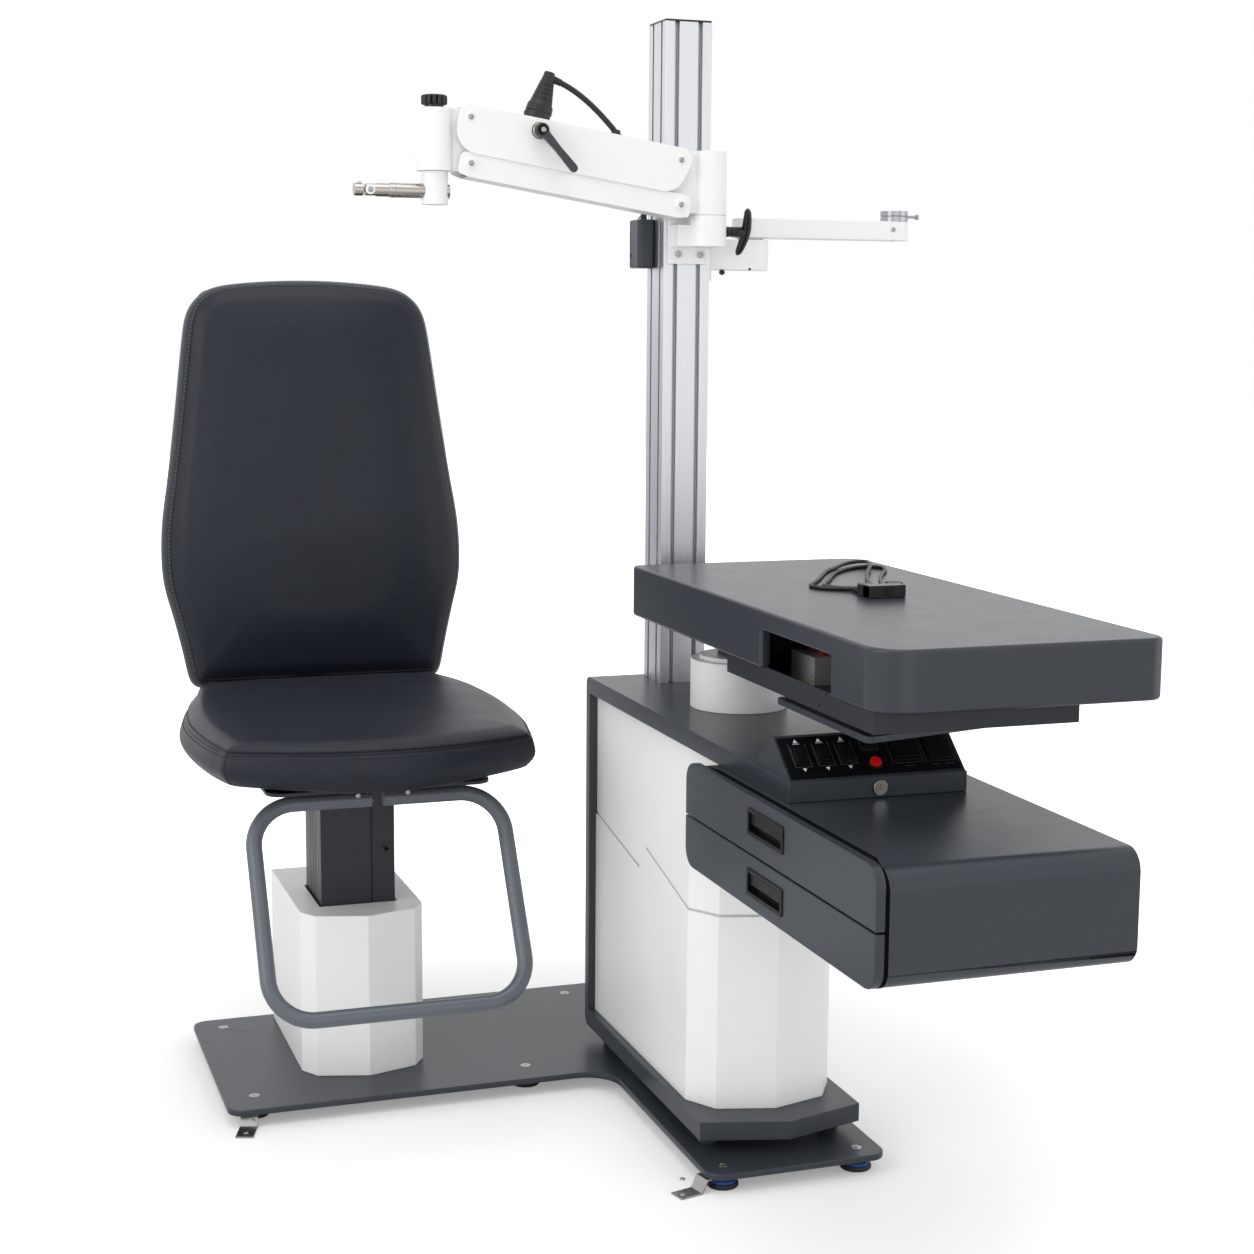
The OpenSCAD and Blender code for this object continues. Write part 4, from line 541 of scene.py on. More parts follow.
def make_lead():
    line = smooth_path([(x, y, *(z or [LEAD_FLAT])) for x, y, *z in LEAD_ROUTE], 4.0)[::-1]
    table = box_mm("table_top")[1][2]
    p, q = Vector(line[-1]), Vector(line[0])
    plug = Part("lead_plug_body")
    ribs = []
    for k in range(5):
        r, z = 5.6 - 0.25 * k, -25 + 4.6 * k
        ribs += [(r, z), (r, z + 2.6), (r - 1.3, z + 2.8), (r - 1.3, z + 4.4)]
    plug.lathe(ribs + [(3.8, -1), (3.2, 0)], MATT, p, BACK, steps=20)
    body = [(-6, -22), (6, -22), (8, -25), (11, -33), (11, -73), (-11, -73), (-11, -33), (-8, -25)]
    there = Matrix.Translation((p.x, p.y, table))
    plug.slab(body, 0.3, 17.6, MATT, there)
    head = [(-11, -50), (36, -50), (36, -51.5), (47, -51.5), (47, -72.5), (36, -72.5), (36, -74), (-11, -74)]
    plug.slab(head, 0.2, 18.6, BLACK, there)
    for x in (12, 17, 22):
        plug.box((x, -74.4, 4), (x + 2.4, -73.5, 15), MATT, there)
    for dy, dz in ((-57, 6), (-67, 6), (-62, 13)):
        hole(plug, there @ Vector((47, dy, dz)), RIGHT, 1.9, 0.3, 0.2, 12)
    plug_ob = plug.make("table", "black_rubber", ("lead_plug",), bevel=1.1, segments=3, angle=40)
    sock = Part("lead_socket_body")
    half = [(5, -0.4), (8, -4), (11, -9), (11, -24), (9.5, -26)]
    there = Matrix.Translation((q.x, q.y, table))
    sock.slab(half + [(-x, y) for x, y in half[::-1]], 0.2, 15.6, MATT, there)
    for dx, dz in ((-4.5, 4.5), (4.5, 4.5), (0, 11)):
        hole(sock, there @ Vector((dx, -26, dz)), FRONT, 1.5, 0.1, 0.15, 12)
    sock_ob = sock.make("table", "black_rubber", ("lead_socket",), bevel=1.0, angle=40)
    cord = Part("lead_flex").tube(line, LEAD_D / 2, MATT, steps=14)
    cord_ob = cord.make("table", "black_rubber", ("lead_cord",), flat_faces=False)


make_lead()

# Rigid nodes that keep their own shape: material, width of the broken edge, nodes, least angle, segments
SKINS = (
    (SLATE, 2.0, "base_plate"),
    (SLATE, 1.2, "console_frame", CREASE),
    (SLATE, 0.8, "control_housing", CREASE),
    (SLATE, 0.9, "drawer_case", ROUNDED),
    (SLATE, 1.6, "upper_drawer lower_drawer", ROUNDED, 3),
    (SLATE_SHADED, 1.2, "lift_inner_tube"),
    (SLATE_SHADED, 0.8, "seat_frame back_bracket"),
    (SLATE_SHADED, 0.5, "slide_rails slide_tray"),
    (WHITE, 1.6, "chair_cover", CREASE),
    (WHITE, 1.2, "lower_cover upper_cover", CREASE),
    (WHITE, 1.5, "projector_arm"),
    (WHITE, 1.2, "pivot_drum projector_bracket"),
    (WHITE, 1.0, "arm_bracket arm_hub end_block"),
    (WHITE, 0.8, "spindle"),
    (WHITE, 0.6, "upper_link lower_link"),
    (TABLE, 5.0, "table_top", ROUNDED, 4),
    (RAIL, 0.0, "footrest_loop"),
    (ALU, 0.5, "column_profile"),
    (ALU_CUT, 0.5, "projector_ring"),
    (STEEL, 0.5, "holder_rod rod_tip"),
    (STEEL, 0.4, "key_lock"),
    (BRONZE, 0.5, "swivel_lever"),
    (ZINC, 1.0, "power_supply"),
    (ZINC, 0.5, "lift_outer_tube"),
    (ZINC, 0.4, "floor_straps"),
    (LOCK_PLATE, 0.8, "lock_box"),
    (GREY, 0.8, "lift_drive"),
    (MATT, 2.5, "back_shell"),
    (BLACK, 0.4, "column_cap"),
    (PULL, 0.9, "upper_pull lower_pull", ROUNDED, 3),
    (PANEL, 0.25, "control_panel"),
    (SWITCH, 0.4, "rocker_1 rocker_2 rocker_3 rocker_4 square_rocker double_rocker"),
    (RED, 0.8, "red_button"))
LOOK_OF = {node: (mat, width, *edges) for mat, width, nodes, *edges in SKINS for node in nodes.split()}
for node_name in SLOT_OF:
    if node_name in LOOK_OF:
        skin(node_name, *LOOK_OF[node_name])
DRUM = (-92.0, -566.0)
skin("swing_arm", SLATE, 0.8, second=(
    WHITE, lambda x, y, z: z < 755.6 and hypot(x - DRUM[0], y - DRUM[1]) < 64))
skin("junction_box", SLATE, 3.0, CREASE, 3, second=(MATT, lambda x, y, z: z > 1441.6))


# Details
LINK_RISE = radians(9)
LINK_U = Vector((-cos(LINK_RISE), 0, sin(LINK_RISE)))
LINK_V = Vector((sin(LINK_RISE), 0, cos(LINK_RISE)))
ARM_Y = -380.0
LOW_PIVOT, HIGH_PIVOT = Vector((-140, ARM_Y, 1460)), Vector((-140, ARM_Y, 1530))
LINK_LEN = 350.0
LEVER = HIGH_PIVOT + LINK_U * 238.7
HOLDER_Z = 1472.25


# A foot from the floor up: pad, ring, washer, nut, stud
FOOT = (
    ([(22.6, 0), (24, 1.4), (24, 5.2), (22.2, 7.6), (0, 8)], RUBBER, 44),
    ([(20.6, 7.6), (21.2, 8.2), (21.2, 11.6), (20.2, 12.6)], BLUE, 44),
    ([(9.5, 12.6), (9.5, 13.4)], ZINC, 24),
    ([(10.5, 13, hexagon), (11, 13.6, hexagon), (11, 19.6, hexagon), (10.5, 20.2, hexagon)], ZINC, 36),
    ([(5.8, 13), (5.8, 31)], ZINC, 20))
PLATE_TOP = 31


def make_feet():
    feet = Part("feet")
    screws = Part("foot_screws")
    for low, high in islands("levelling_feet"):
        x, y = (low[0] + high[0]) / 2, (low[1] + high[1]) / 2
        for profile, mat, steps in FOOT:
            feet.lathe(profile, mat, (x, y, 0), steps=steps)
        c = cross(0.22)
        screws.lathe([(8.6, -0.6), (8.6, 0.25), (8.0, 0.55), (5.2, 0.6, c), (4.6, 0.5, c), (3.8, -0.4, c),
                      (0, -0.45)], ZINC, (x, y, PLATE_TOP), UP, (cos(x), sin(x), 0), steps=48)
    feet.make("stand", "black_rubber", ("levelling_feet",))
    screws.make("stand", "zinc_steel")


def make_arm_details():
    for name, pivot, inset in (("upper_link", HIGH_PIVOT, 0.0), ("lower_link", LOW_PIVOT, 3.0)):
        part = Part(name + "_screws")
        for side in (-1, 1):
            for k, u in enumerate((0, LINK_LEN)):
                at = pivot + LINK_U * u
                at.y += side * (28.0 - inset)
                if inset:
                    part.lathe([(7.6, -0.4), (7.6, 3.7), (7.0, 4.3)], WHITE, at, (0, side, 0))
                    at.y += side * 4.1
                pan_screw(part, at, (0, side, 0), 4.6, 2.6, 7.2, 0.4 + k)
        part.make(name, "white_paint")

    part = Part("clamp_lever_grip")
    at = LEVER.copy()
    at.y -= 28.1
    turn = radians(50.5)
    part.lathe([(11.6, -0.1), (12, 0.4), (12, 6.4), (11.2, 7)], STEEL, at, FRONT)
    part.lathe([(9.8, 6), (10.6, 7.5), (10.6, 19), (9.2, 21.6), (6.4, 22.2), (6.2, 21)], MATT, at, FRONT)
    part.lathe([(5, 20.5, hexagon), (5, 23, hexagon), (4.6, 23.6, hexagon)], ZINC, at, FRONT, steps=36)
    lean = axes(at, FRONT, (cos(turn), 0, -sin(turn))) @ Matrix.Rotation(radians(-9), 4, "Y")
    grip = [(2, -7), (40, -5.2), (78, -6.2), (83, -4.4), (84.5, 0), (83, 4.4), (78, 6.2), (40, 5.2), (2, 7)]
    part.slab(grip, 9.5, 20.5, GRIP, lean)
    part.make("clamp_lever", "black_plastic", ("clamp_lever",), bevel=2.3, segments=3, angle=50)

    part = Part("arm_connector")
    at = LEVER + LINK_V * 19.4
    part.lathe([(20.4, 0), (21, 0.6), (21, 10.6), (20, 12)], MATT, at, LINK_V)
    tilt = radians(8)
    axis = LINK_V * cos(tilt) - LINK_U * sin(tilt)
    profile = [(18, 9), (20.6, 11), (21.2, 12.6), (20.2, 22.6), (18.8, 24.6), (18.3, 25.6)]
    for k in range(5):
        r = 18.0 - 1.5 * k
        z = 26 + 7.4 * k
        profile += [(r, z), (r - 1.1, z + 5.6), (r - 2.0, z + 6.2), (r - 1.9, z + 7.0)]
    profile += [(10.2, 64), (9.4, 66), (9.4, 68.4), (8.8, 69.2), (8.8, 74), (7.6, 76)]
    part.lathe(profile, MATT, at, axis, LINK_U, steps=44)
    route = [(-6, 88.5), (-10, 86), (-23, 84), (-42, 79), (-62, 71), (-82, 60.5), (-101, 48.5), (-117, 37),
             (-128, 28.5), (-133, 22.5), (-133.5, 19.4)]
    line = smooth_path([LEVER + LINK_U * u + LINK_V * v for u, v in route], 3.0)
    part.tube(line, 4.5, MATT, steps=18)
    n = len(line) // 5
    part.tube(line[:n], [6.8 - 1.6 * k / n for k in range(n)], BLACK, steps=20)
    gland = LEVER + LINK_U * -133 + LINK_V * 19.2
    part.lathe([(9, 0, hexagon), (9, 4, hexagon), (8.2, 4.8), (6.6, 5.4), (6.2, 9), (5, 10)], MATT, gland,
               LINK_V, LINK_U, steps=36)
    part.make("upper_link", "black_plastic", ("arm_lead",))

    part = Part("turning_knob_head")
    at = (-536.7, ARM_Y, 1598.0)
    part.lathe([(5, -12), (5, 0.5), (14.4, 0.5), (15, 1), (15, 4.6)], BLACK, at)
    part.lathe([(18.4, 4.8, lobes), (20.3, 6.4, lobes), (20.5, 8, lobes), (20.5, 16.4, lobes), (19.6, 18.6, lobes),
                (16.6, 19.8), (13.4, 20), (12.6, 19.2), (0, 19)], MATT, at, steps=168)
    part.make("turning_knob", "black_plastic", ("turning_knob",))

    part = Part("holder_details")
    for x in (-600, -560):
        part.lathe([(11.05, -1.1), (11.5, -0.8), (11.5, 0.8), (11.05, 1.1)], ALU_CUT, (x, ARM_Y, HOLDER_Z), RIGHT,
                   closed=False)
    part.make("holder", "polished_steel")
    part = Part("tip_details")
    for side in (-1, 1):
        pan_screw(part, (-639.7, ARM_Y + side * 9.6, HOLDER_Z), (0, side, 0), 4.4, 2.4, 7.5, 0.5)
    socket_screw(part, (-655, ARM_Y, 1481.5), UP, 3.2, 2.6)
    part.make("rod_tip", "polished_steel")

    part = Part("t_handle_body")
    z = 1420.0
    part.lathe([(4.9, -0.5), (4.9, 30)], STEEL, (-70, ARM_Y, z), RIGHT)
    part.lathe([(7.0, 0), (8.4, 1.4), (8.4, 6), (7.4, 6.8), (7.4, 8.6), (8.4, 9.4), (8.4, 14), (7.4, 14.8),
                (7.4, 16.6), (8.4, 17.4), (8.4, 30), (7, 33), (0, 33.5)], BLACK, (-52.6, ARM_Y, z), RIGHT, steps=32)
    bar = smooth_path([(-22.5, ARM_Y - 21.8, z + 35.5), (-19, ARM_Y - 13, z + 22), (-16.4, ARM_Y, z),
                       (-19, ARM_Y + 13, z - 22), (-22.5, ARM_Y + 21.8, z - 35.5)], 3.0)
    n = len(bar)
    radii = [(5.0 + 3.0 * sin(pi * k / (n - 1))) * min(1, (0.55 + 0.25 * min(k, n - 1 - k))) for k in range(n)]
    part.tube(bar, radii, BLACK, steps=20)
    part.make("t_handle", "black_plastic", ("t_handle",))


def make_screws():
    part = Part("stand_fasteners")
    for at in ((-121.8, -348, 1383.9), (-82.9, -348, 1383.2)):
        socket_screw(part, at, FRONT, 5.4, 4.2)
    socket_screw(part, (-38.5, -330.5, 1356), FRONT, 4.6, 3.6, BLACK)
    hole(part, (11.5, -330.5, 1361.7), FRONT, 2.2)
    hole(part, (-593.9, -248.0, 398.2), FRONT, 3.4)
    hole(part, (-172, -258.4, 1383), LEFT, 2.6)
    for low, high in islands("floor_straps"):
        size = (high - low)[:2]
        for t in (0.18, 0.82):
            share = (t, 0.5) if size[0] > size[1] else (0.5, t)
            pan_screw(part, (*(low[:2] + size * share), high[2] - 0.05), UP, 4.4, 2.0)
    part.make("stand", "zinc_steel")

    part = Part("projector_screws")
    socket_screw(part, (276.3, -324.4, 1431.9), FRONT, 4.2, 1.6)
    hole(part, (276.9, -324.4, 1415.5), FRONT, 1.8)
    part.make("projector_arm", "zinc_steel")

    part = Part("footrest_screws")
    for x in (-673, -592.5):
        pan_screw(part, (x, -404.0, 529.5), FRONT, 4.6, 3.0)
    part.make("seat", "zinc_steel")


def make_drum_rings():
    """Edge of the fixed drum, and the turning disc on it."""
    rim = [(58, 748.9), (76.2, 748.9), (76.6, 749.2), (76.2, 749.6), (58, 749.6)]
    disc = [(33, 749.35), (62.4, 749.35), (62.4, 755.0), (61.7, 755.6), (33, 755.6)]
    for name, node, profile in (("drum_rim", "pivot_drum", rim), ("drum_disc", "swing_arm", disc)):
        Part(name).lathe(profile, WHITE, (*DRUM, 0), steps=72, closed=False).make(BODY_OF[node], "white_paint")


def make_lock_terminals():
    part = Part("tray_holes")
    x = box_mm("slide_tray")[0][0]
    for y, z in ((-1148, 783.4), (-1169, 800.3)):
        hole(part, (x, y, z), LEFT, 1.9)
    part.make("table", "black_plastic")

    part = Part("lock_terminals")
    low, high = box_mm("lock_box")
    top = Matrix.Translation((low[0], low[1], high[2]))
    for x, mat in ((22, RED), (34, GREEN), (44, MATT)):
        part.box((x, 18, -0.2), (x + 9, 32, 8), mat, top)
        wire = smooth_path([(x + 4.5, 31, 4), (x + 4.5, 44, 7), (x + 2, 62, 3), (x, 74, -4)], 4)
        part.tube(wire, 1.3, mat, steps=8, matrix=top)
    for z in (8, 14):
        pan_screw(part, (low[0], low[1] + 4.5, low[2] + z), LEFT, 2.0, 1.2)
    part.make("table", "black_plastic")


def make_pull_flaps():
    for level in ("upper", "lower"):
        low, high = box_mm(level + "_pull")
        flap = Part(level + "_pull_flap")
        split = low[2] + 0.40 * (high[2] - low[2])
        flap.box((low[0] + 3.2, low[1] + 5, split), (low[0] + 6, high[1] - 5, high[2] - 4), PULL)
        flap.make(level + "_drawer", "black_plastic", bevel=0.8)


def make_case_gap_shade():
    """Painted shade: black bands in the gap between the drawer fronts and their case, and along the case top behind
    them.
    """
    low, high = box_mm("drawer_case")
    part = Part("case_gap_shade")
    loops = [round_box(low[1] - out, low[2] - out, high[1] + out, high[2] + out, 28 + out) for out in (0.35, -1.2)]
    n = len(loops[0])
    x0, x1, x2 = low[0] - 3.2, low[0] + 1.6, low[0] + 13
    verts = [(x, y, z) for x in (x0, x1) for loop in loops for y, z in loop]
    part.add(verts, walls([range(k * n, (k + 1) * n) for k in (0, 1, 3, 2, 0)]), RECESS_SHADE)
    edge = ((x0, 26), (x1, 26), (x2, 60))
    outline = [(x, low[1] + y) for x, y in edge] + [(x, high[1] - y) for x, y in edge[::-1]]
    part.slab(outline, high[2] - 0.5, high[2] + 0.35, RECESS_SHADE)
    part.make("stand", "black_plastic")


def make_cover_parting():
    """Grey backing behind the gap where the two covers part: its grey is painted shade, so the gap shows as a light
    grey shadow line.
    """
    part = Part("cover_parting")
    low, high, cover_top = 377, 400, 620
    middle = Matrix.Translation((-106, 0, 0))
    half = [(86.1, -750), (116.8, -699.6), (116.8, -690), (115.6, -690), (115.6, -699), (85.4, -749)]
    outline = [(0, -774.7), *half, (0, -773.4), *((-x, y) for x, y in half[::-1])]
    part.slab(outline, low, high, PARTING_SHADE, middle)
    for side in (-1, 1):
        part.box((side * 116.8 - 0.5, -699, low), (side * 116.8 + 0.5, -252, cover_top), PARTING_SHADE, middle)
    part.make("stand", "white_paint")


PANEL_MIDDLE, PANEL_SLOPE = (-106, -1107, 672), radians(39.9)


def make_panel_marks():
    """Frames round the switches and plain marks, on the wedge's sloping face."""
    face = axes(PANEL_MIDDLE, (0, -sin(PANEL_SLOPE), cos(PANEL_SLOPE)))
    part = Part("panel_marks")
    up = 0.22

    def bar(x0, y0, x1, y1, mat):
        part.box((x0, y0, -0.3), (x1, y1, up), mat, face)

    def frame(x, y, w, h, t=0.7):
        bar(x - w, y - h, x - w + t, y + h, LINE)
        bar(x - w, y - h, x + w, y - h + t, LINE)
        bar(x + w - t, y - h, x + w, y + h, LINE)

    def triangle(x, y, size, sign):
        foot = y - sign * size * 0.8
        part.slab([(x - size, foot), (x + size, foot), (x, y + sign * size)], -0.3, up, MARK, face)

    row = 43.7
    for x in (-101.5, -67.5, -34.5):
        frame(x, row, 12.5, 20)
        triangle(x, row + 24.5, 3.4, 1)
        bar(x - 5, row + 19.4, x + 5, row + 20.2, MARK)
        triangle(x, row - 24.5, 3.0, -1)
    frame(3, 58, 12.5, 13)
    for x in (52, 102):
        frame(x, row, 23, 24)
    for x in (52, 91, 113):
        bar(x - 6, row - 29.5, x + 6, row - 28.7, LINE)
    part.make("stand", "black_plastic")


make_feet()
make_arm_details()
make_screws()
make_drum_rings()
make_lock_terminals()
make_pull_flaps()
make_case_gap_shade()
make_cover_parting()
make_panel_marks()


# Cushions
CHAIR = (-640.0, -166.0)


def travel(points):
    """Distance along a row of points."""
    return np.concatenate([[0], np.cumsum(np.linalg.norm(np.diff(points, axis=0), axis=1))])


def read_at(values, d, s):
    """Columns of values read at s, where d is the distance of each row."""
    return np.array([np.interp(s, d, column) for column in values.T])


def even_ring(points, count):
    """Evenly spaced points on a closed outline, and their spacing."""
    q = np.vstack([points, points[:1]])
    d = travel(q)
    return read_at(q, d, np.arange(count) * d[-1] / count).T, d[-1] / count


def smooth_closed(points, sigma, count):
    """Evenly spaced points on a closed outline whose corners are rounded."""
    ring, step = even_ring(np.array(points, float), 2000)
    w = int(3 * sigma / step)
    kernel = np.exp(-0.5 * (np.arange(-w, w + 1) * step / sigma) ** 2)
    kernel /= kernel.sum()
    for k in range(2):
        ring[:, k] = np.convolve(np.concatenate([ring[-w:, k], ring[:, k], ring[:w, k]]), kernel, "valid")
    return even_ring(ring, count)[0]


def outward(n, ring):
    """Normals of unit length that point away from the ring's middle."""
    n = n / np.linalg.norm(n, axis=1)[:, None]
    return n if (n * (ring - ring.mean(0))).sum() > 0 else -n


def normals2(outline):
    t = np.roll(outline, -1, 0) - np.roll(outline, 1, 0)
    return outward(np.column_stack([t[:, 1], -t[:, 0]]), outline)


def relax(xy, passes):
    """Rounds the corners of a ring that was moved inwards; passes is for a ring of 440 points."""
    for _ in range(int(round(passes * (len(xy) / 440) ** 2))):
        xy = (2 * xy + np.roll(xy, 1, 0) + np.roll(xy, -1, 0)) / 4
    return xy


def ring_mesh(rings):
    """Closed form made of rings, with a point in the middle of each end."""
    n = len(rings[0])
    verts = np.vstack([rings[0].mean(0), *rings, rings[-1].mean(0)])
    numbers = [[0]] + [range(1 + i * n, 1 + (i + 1) * n) for i in range(len(rings))] + [[len(verts) - 1]]
    return verts, walls(numbers)


def puff(verts, faces, pinned, cap, pressure=2.2, frames=20):
    """Cloth under pressure, held at the seams: how far each point moves, in millimetres."""
    ob = mesh_object("puff", verts * MM, faces)
    group = ob.vertex_groups.new(name="held")
    group.add([int(i) for i in pinned], 1.0, "REPLACE")
    m = ob.modifiers.new("Cloth", "CLOTH")
    c = m.settings
    c.quality, c.mass, c.time_scale = 6, 0.35, 1.0
    c.tension_stiffness = c.compression_stiffness = 18
    c.shear_stiffness, c.bending_stiffness = 8, 1.2
    c.air_damping = 3
    c.use_pressure, c.uniform_pressure_force = True, pressure
    c.vertex_group_mass = "held"
    c.effector_weights.gravity = 0
    for f in range(1, frames + 1):
        SCENE.frame_set(f)
    graph = bpy.context.evaluated_depsgraph_get()
    done = ob.evaluated_get(graph)
    after = np.array([v.co for v in done.data.vertices]) / MM
    SCENE.frame_set(1)
    bpy.data.objects.remove(ob)
    move = after - verts
    size = np.linalg.norm(move, axis=1, keepdims=True)
    return move * (cap * np.tanh(size / cap) / np.maximum(size, 1e-6))


def grid_blend(values, params, new_params, count):
    """Values on rings at params, carried to rings at new_params."""
    n = values.shape[1]
    out = np.zeros((len(new_params), count, 3))
    cols = np.arange(count) * n / count
    j0 = np.floor(cols).astype(int) % n
    f = (cols - np.floor(cols))[:, None]
    for k, p in enumerate(new_params):
        i = int(np.clip(np.searchsorted(params, p) - 1, 0, len(params) - 2))
        t = unit((p - params[i]) / (params[i + 1] - params[i]))
        row = values[i] * (1 - t) + values[i + 1] * t
        out[k] = row[j0] * (1 - f) + row[(j0 + 1) % n] * f
    return out


def calm(moved):
    """Takes the finest folds out of the cloth's movement, along and across the rings."""
    for _ in range(10):
        moved = (moved * 2 + np.roll(moved, 1, 1) + np.roll(moved, -1, 1)) / 4
    for _ in range(2):
        inner = (moved[1:-1] * 2 + moved[:-2] + moved[2:]) / 4
        moved = np.concatenate([moved[:1], inner, moved[-1:]])
    return moved


def stitch_rows(name, rows, thread, length=4.2, radius=0.9, pitch=7.0):
    """Short sunk threads along rows of (points, normals)."""
    part = Part(name)
    for pts, normal in rows:
        q, d = np.array(pts), travel(pts)
        count = max(2, int(d[-1] / pitch))
        for k in range(count):
            s0 = d[-1] * (k + 0.5) / count
            a, b, out = read_at(q, d, s0 - length / 2), read_at(q, d, s0 + length / 2), read_at(normal, d, s0)
            out /= np.linalg.norm(out)
            mid = (a + b) / 2 + out * radius * 0.5
            a, b = a - out * radius * 0.6, b - out * radius * 0.6
            part.tube([a, a * 0.55 + mid * 0.45 + out * 0.12, mid, b * 0.55 + mid * 0.45 + out * 0.12, b],
                      [radius * 0.5, radius * 0.9, radius, radius * 0.9, radius * 0.5], thread, steps=6)
    part.make("seat", "leatherette", flat_faces=False)


SEAT_HALF, SEAT_FRONT, SEAT_REAR = 281.0, 334.0, 274.0
SEAT_SHARES = [0.885, 0.94, 0.975, 0.996, 1, 0.985, 0.95, 0.9, 0.83, 0.8]
SEAT_CORNER = 0.82
SEAT_SEAM = 616.3


def ease(v):
    v = unit(v)
    return v * v * (3 - 2 * v)


def crown(ring, normals, centre, t, shoulder, inset, over, lift):
    """Ring at a share t of the way from the seam to the centre, and how far it has turned over the shoulder."""
    a = min(1, t / shoulder) * pi / 2
    shift = inset + over * (1 - cos(a)) + lift * sin(a) + np.zeros(len(ring))
    ring = relax(ring - normals * shift[:, None], 60 * (1 - cos(a)))
    return centre + (ring - centre) * (1 - max(0.0, (t - shoulder) / (1 - shoulder))), a


def seat_outline(count):
    side = [(SEAT_HALF * float(spline(SEAT_SHARES, s)), -SEAT_FRONT * SEAT_CORNER * (1 - s) + SEAT_REAR * s)
            for s in np.linspace(0, 1, 60)]
    front = [(SEAT_HALF * SEAT_SHARES[0] * u, -SEAT_FRONT + SEAT_FRONT * (1 - SEAT_CORNER) * u * u)
             for u in np.linspace(-1, 1, 60)]
    pts = front[1:-1] + side + [(-x, y) for x, y in side[::-1]]
    return smooth_closed(pts, 7, count)


def seat_rings(params, count):
    """Seat surface: 0 is the bottom's middle, 1 its edge, 2 the seam at the top of the band, 3 the crown's middle."""
    out = seat_outline(count)
    nrm = normals2(out)
    centre = np.array([0.0, -20.0])
    floor = box_mm("seat_cushion")[0][2] + 0.6
    front = ease((-out[:, 1] - 230) / 60)
    edge = 563 - 14.5 * front * (1 - np.minimum(1, np.abs(out[:, 0]) / 250))
    tuck, lean = 16.0, 9.0 - 4.0 * front
    rings = []
    for p in params:
        if p <= 1:
            k = max(0.0, (p - 0.6) / 0.4)
            rim = relax(out - nrm * (tuck + 1), 14)
            xy = centre + (rim - centre) * p
            z = floor + (edge - floor) * k * k
        elif p <= 2:
            t = p - 1
            low = min(1, t / 0.5)
            reach = 2.5 * sin(pi * t) ** 0.8 - tuck * (1 - low) ** 1.8 - lean * t ** 2.2
            xy = relax(out + nrm * reach[:, None], 14 * (1 - low) ** 2)
            z = edge + (SEAT_SEAM - edge) * t
        else:
            xy, a = crown(out, nrm, centre, p - 2, 0.22, lean, 25.0, 3.0)
            rise = 13 + 14.5 * ease((xy[:, 1] + 290) / 480)
            across = unit(1 - (xy[:, 0] / 262) ** 2) * unit(1 - ((xy[:, 1] + 40) / 300) ** 2)
            z = SEAT_SEAM + rise * sin(a) + 3.5 * across * sin(a) ** 2
            # It gives way under the back's lower edge
            z = np.minimum(z, 639.0 - 0.55 * (xy[:, 1] - 240) + 4 * ease((244 - xy[:, 1]) / 12))
        rings.append(np.column_stack([xy, z + np.zeros(count)]))
    return rings


def ring_normals(rings, i):
    a, b = rings[max(i - 1, 0)], rings[min(i + 1, len(rings) - 1)]
    along = np.roll(rings[i], -1, 0) - np.roll(rings[i], 1, 0)
    return outward(np.cross(along, b - a), rings[i])


def cushion(name, rings_at, coarse, fine, count, coarse_count, pins, cap, seams, local, limits):
    """Builds a cushion: its form, the cloth's swelling, then the grooves of its seams."""
    moved = np.zeros((len(coarse), coarse_count, 3))
    rough = rings_at(coarse, coarse_count)
    verts, faces = ring_mesh(rough)
    held = [0] + [1 + i * coarse_count + j for i, p in enumerate(coarse) if p in pins for j in range(coarse_count)]
    move = puff(verts, faces, held, cap)
    moved = calm(move[1:-1].reshape(len(coarse), coarse_count, 3))
    moved *= unit((3.0 - np.array(coarse)) / 0.5)[:, None, None]
    rings = [r + s for r, s in zip(rings_at(fine, count), grid_blend(moved, coarse, fine, count))]
    for i, p in enumerate(fine):
        n = ring_normals(rings, i)
        for at, width, depth in seams:
            rings[i] = rings[i] - n * (depth * exp(-((p - at) / width) ** 2))
    verts, faces = ring_mesh(rings)
    ob = mesh_object(name, np.clip(local(verts), *limits) * MM, faces, [LEATHER])
    turn_outwards(ob.data)
    all_smooth(ob.data)
    place(ob, "seat", "leatherette", (name.replace("_cover", "_cushion"),))
    return rings


def open_row(ring, normal, keep):
    """The part of a closed row where keep holds, from end to end."""
    idx = np.where(keep)[0]
    gap = np.where(np.diff(idx) > 1)[0]
    idx = np.concatenate([idx[gap[0] + 1:], idx[:gap[0] + 1]]) if len(gap) else idx
    return ring[idx], normal[idx]


def near(params, p):
    return int(np.argmin(np.abs(np.array(params) - p)))


SEAM_FINE = [0.8, 0.83, 0.85, 0.865, *np.linspace(0.88, 1.0, 13)]
CROWN_COARSE = [2.3, 2.38, 2.46, 2.54, 2.62, 2.7, 2.78, 2.86, 2.94]
SEAT_COARSE = [0.25, 0.5, 0.75, 0.93, 1.0, 1.2, 1.4, 1.6, 1.8, 2.0, 2.08, 2.15, 2.22, *CROWN_COARSE]
SEAT_FINE = [
    0.2, 0.45, 0.7, 0.88, 0.94, 0.97, 0.99, 1.0, 1.015, 1.03, *np.linspace(1.05, 1.75, 15),
    *(1 + v for v in SEAM_FINE), *np.linspace(2.004, 2.02, 5), 2.025, 2.03, 2.037, 2.045, 2.055, 2.065, 2.08,
    *np.linspace(2.1, 2.22, 7), 2.25, *np.linspace(2.28, 2.96, 18), 2.985]


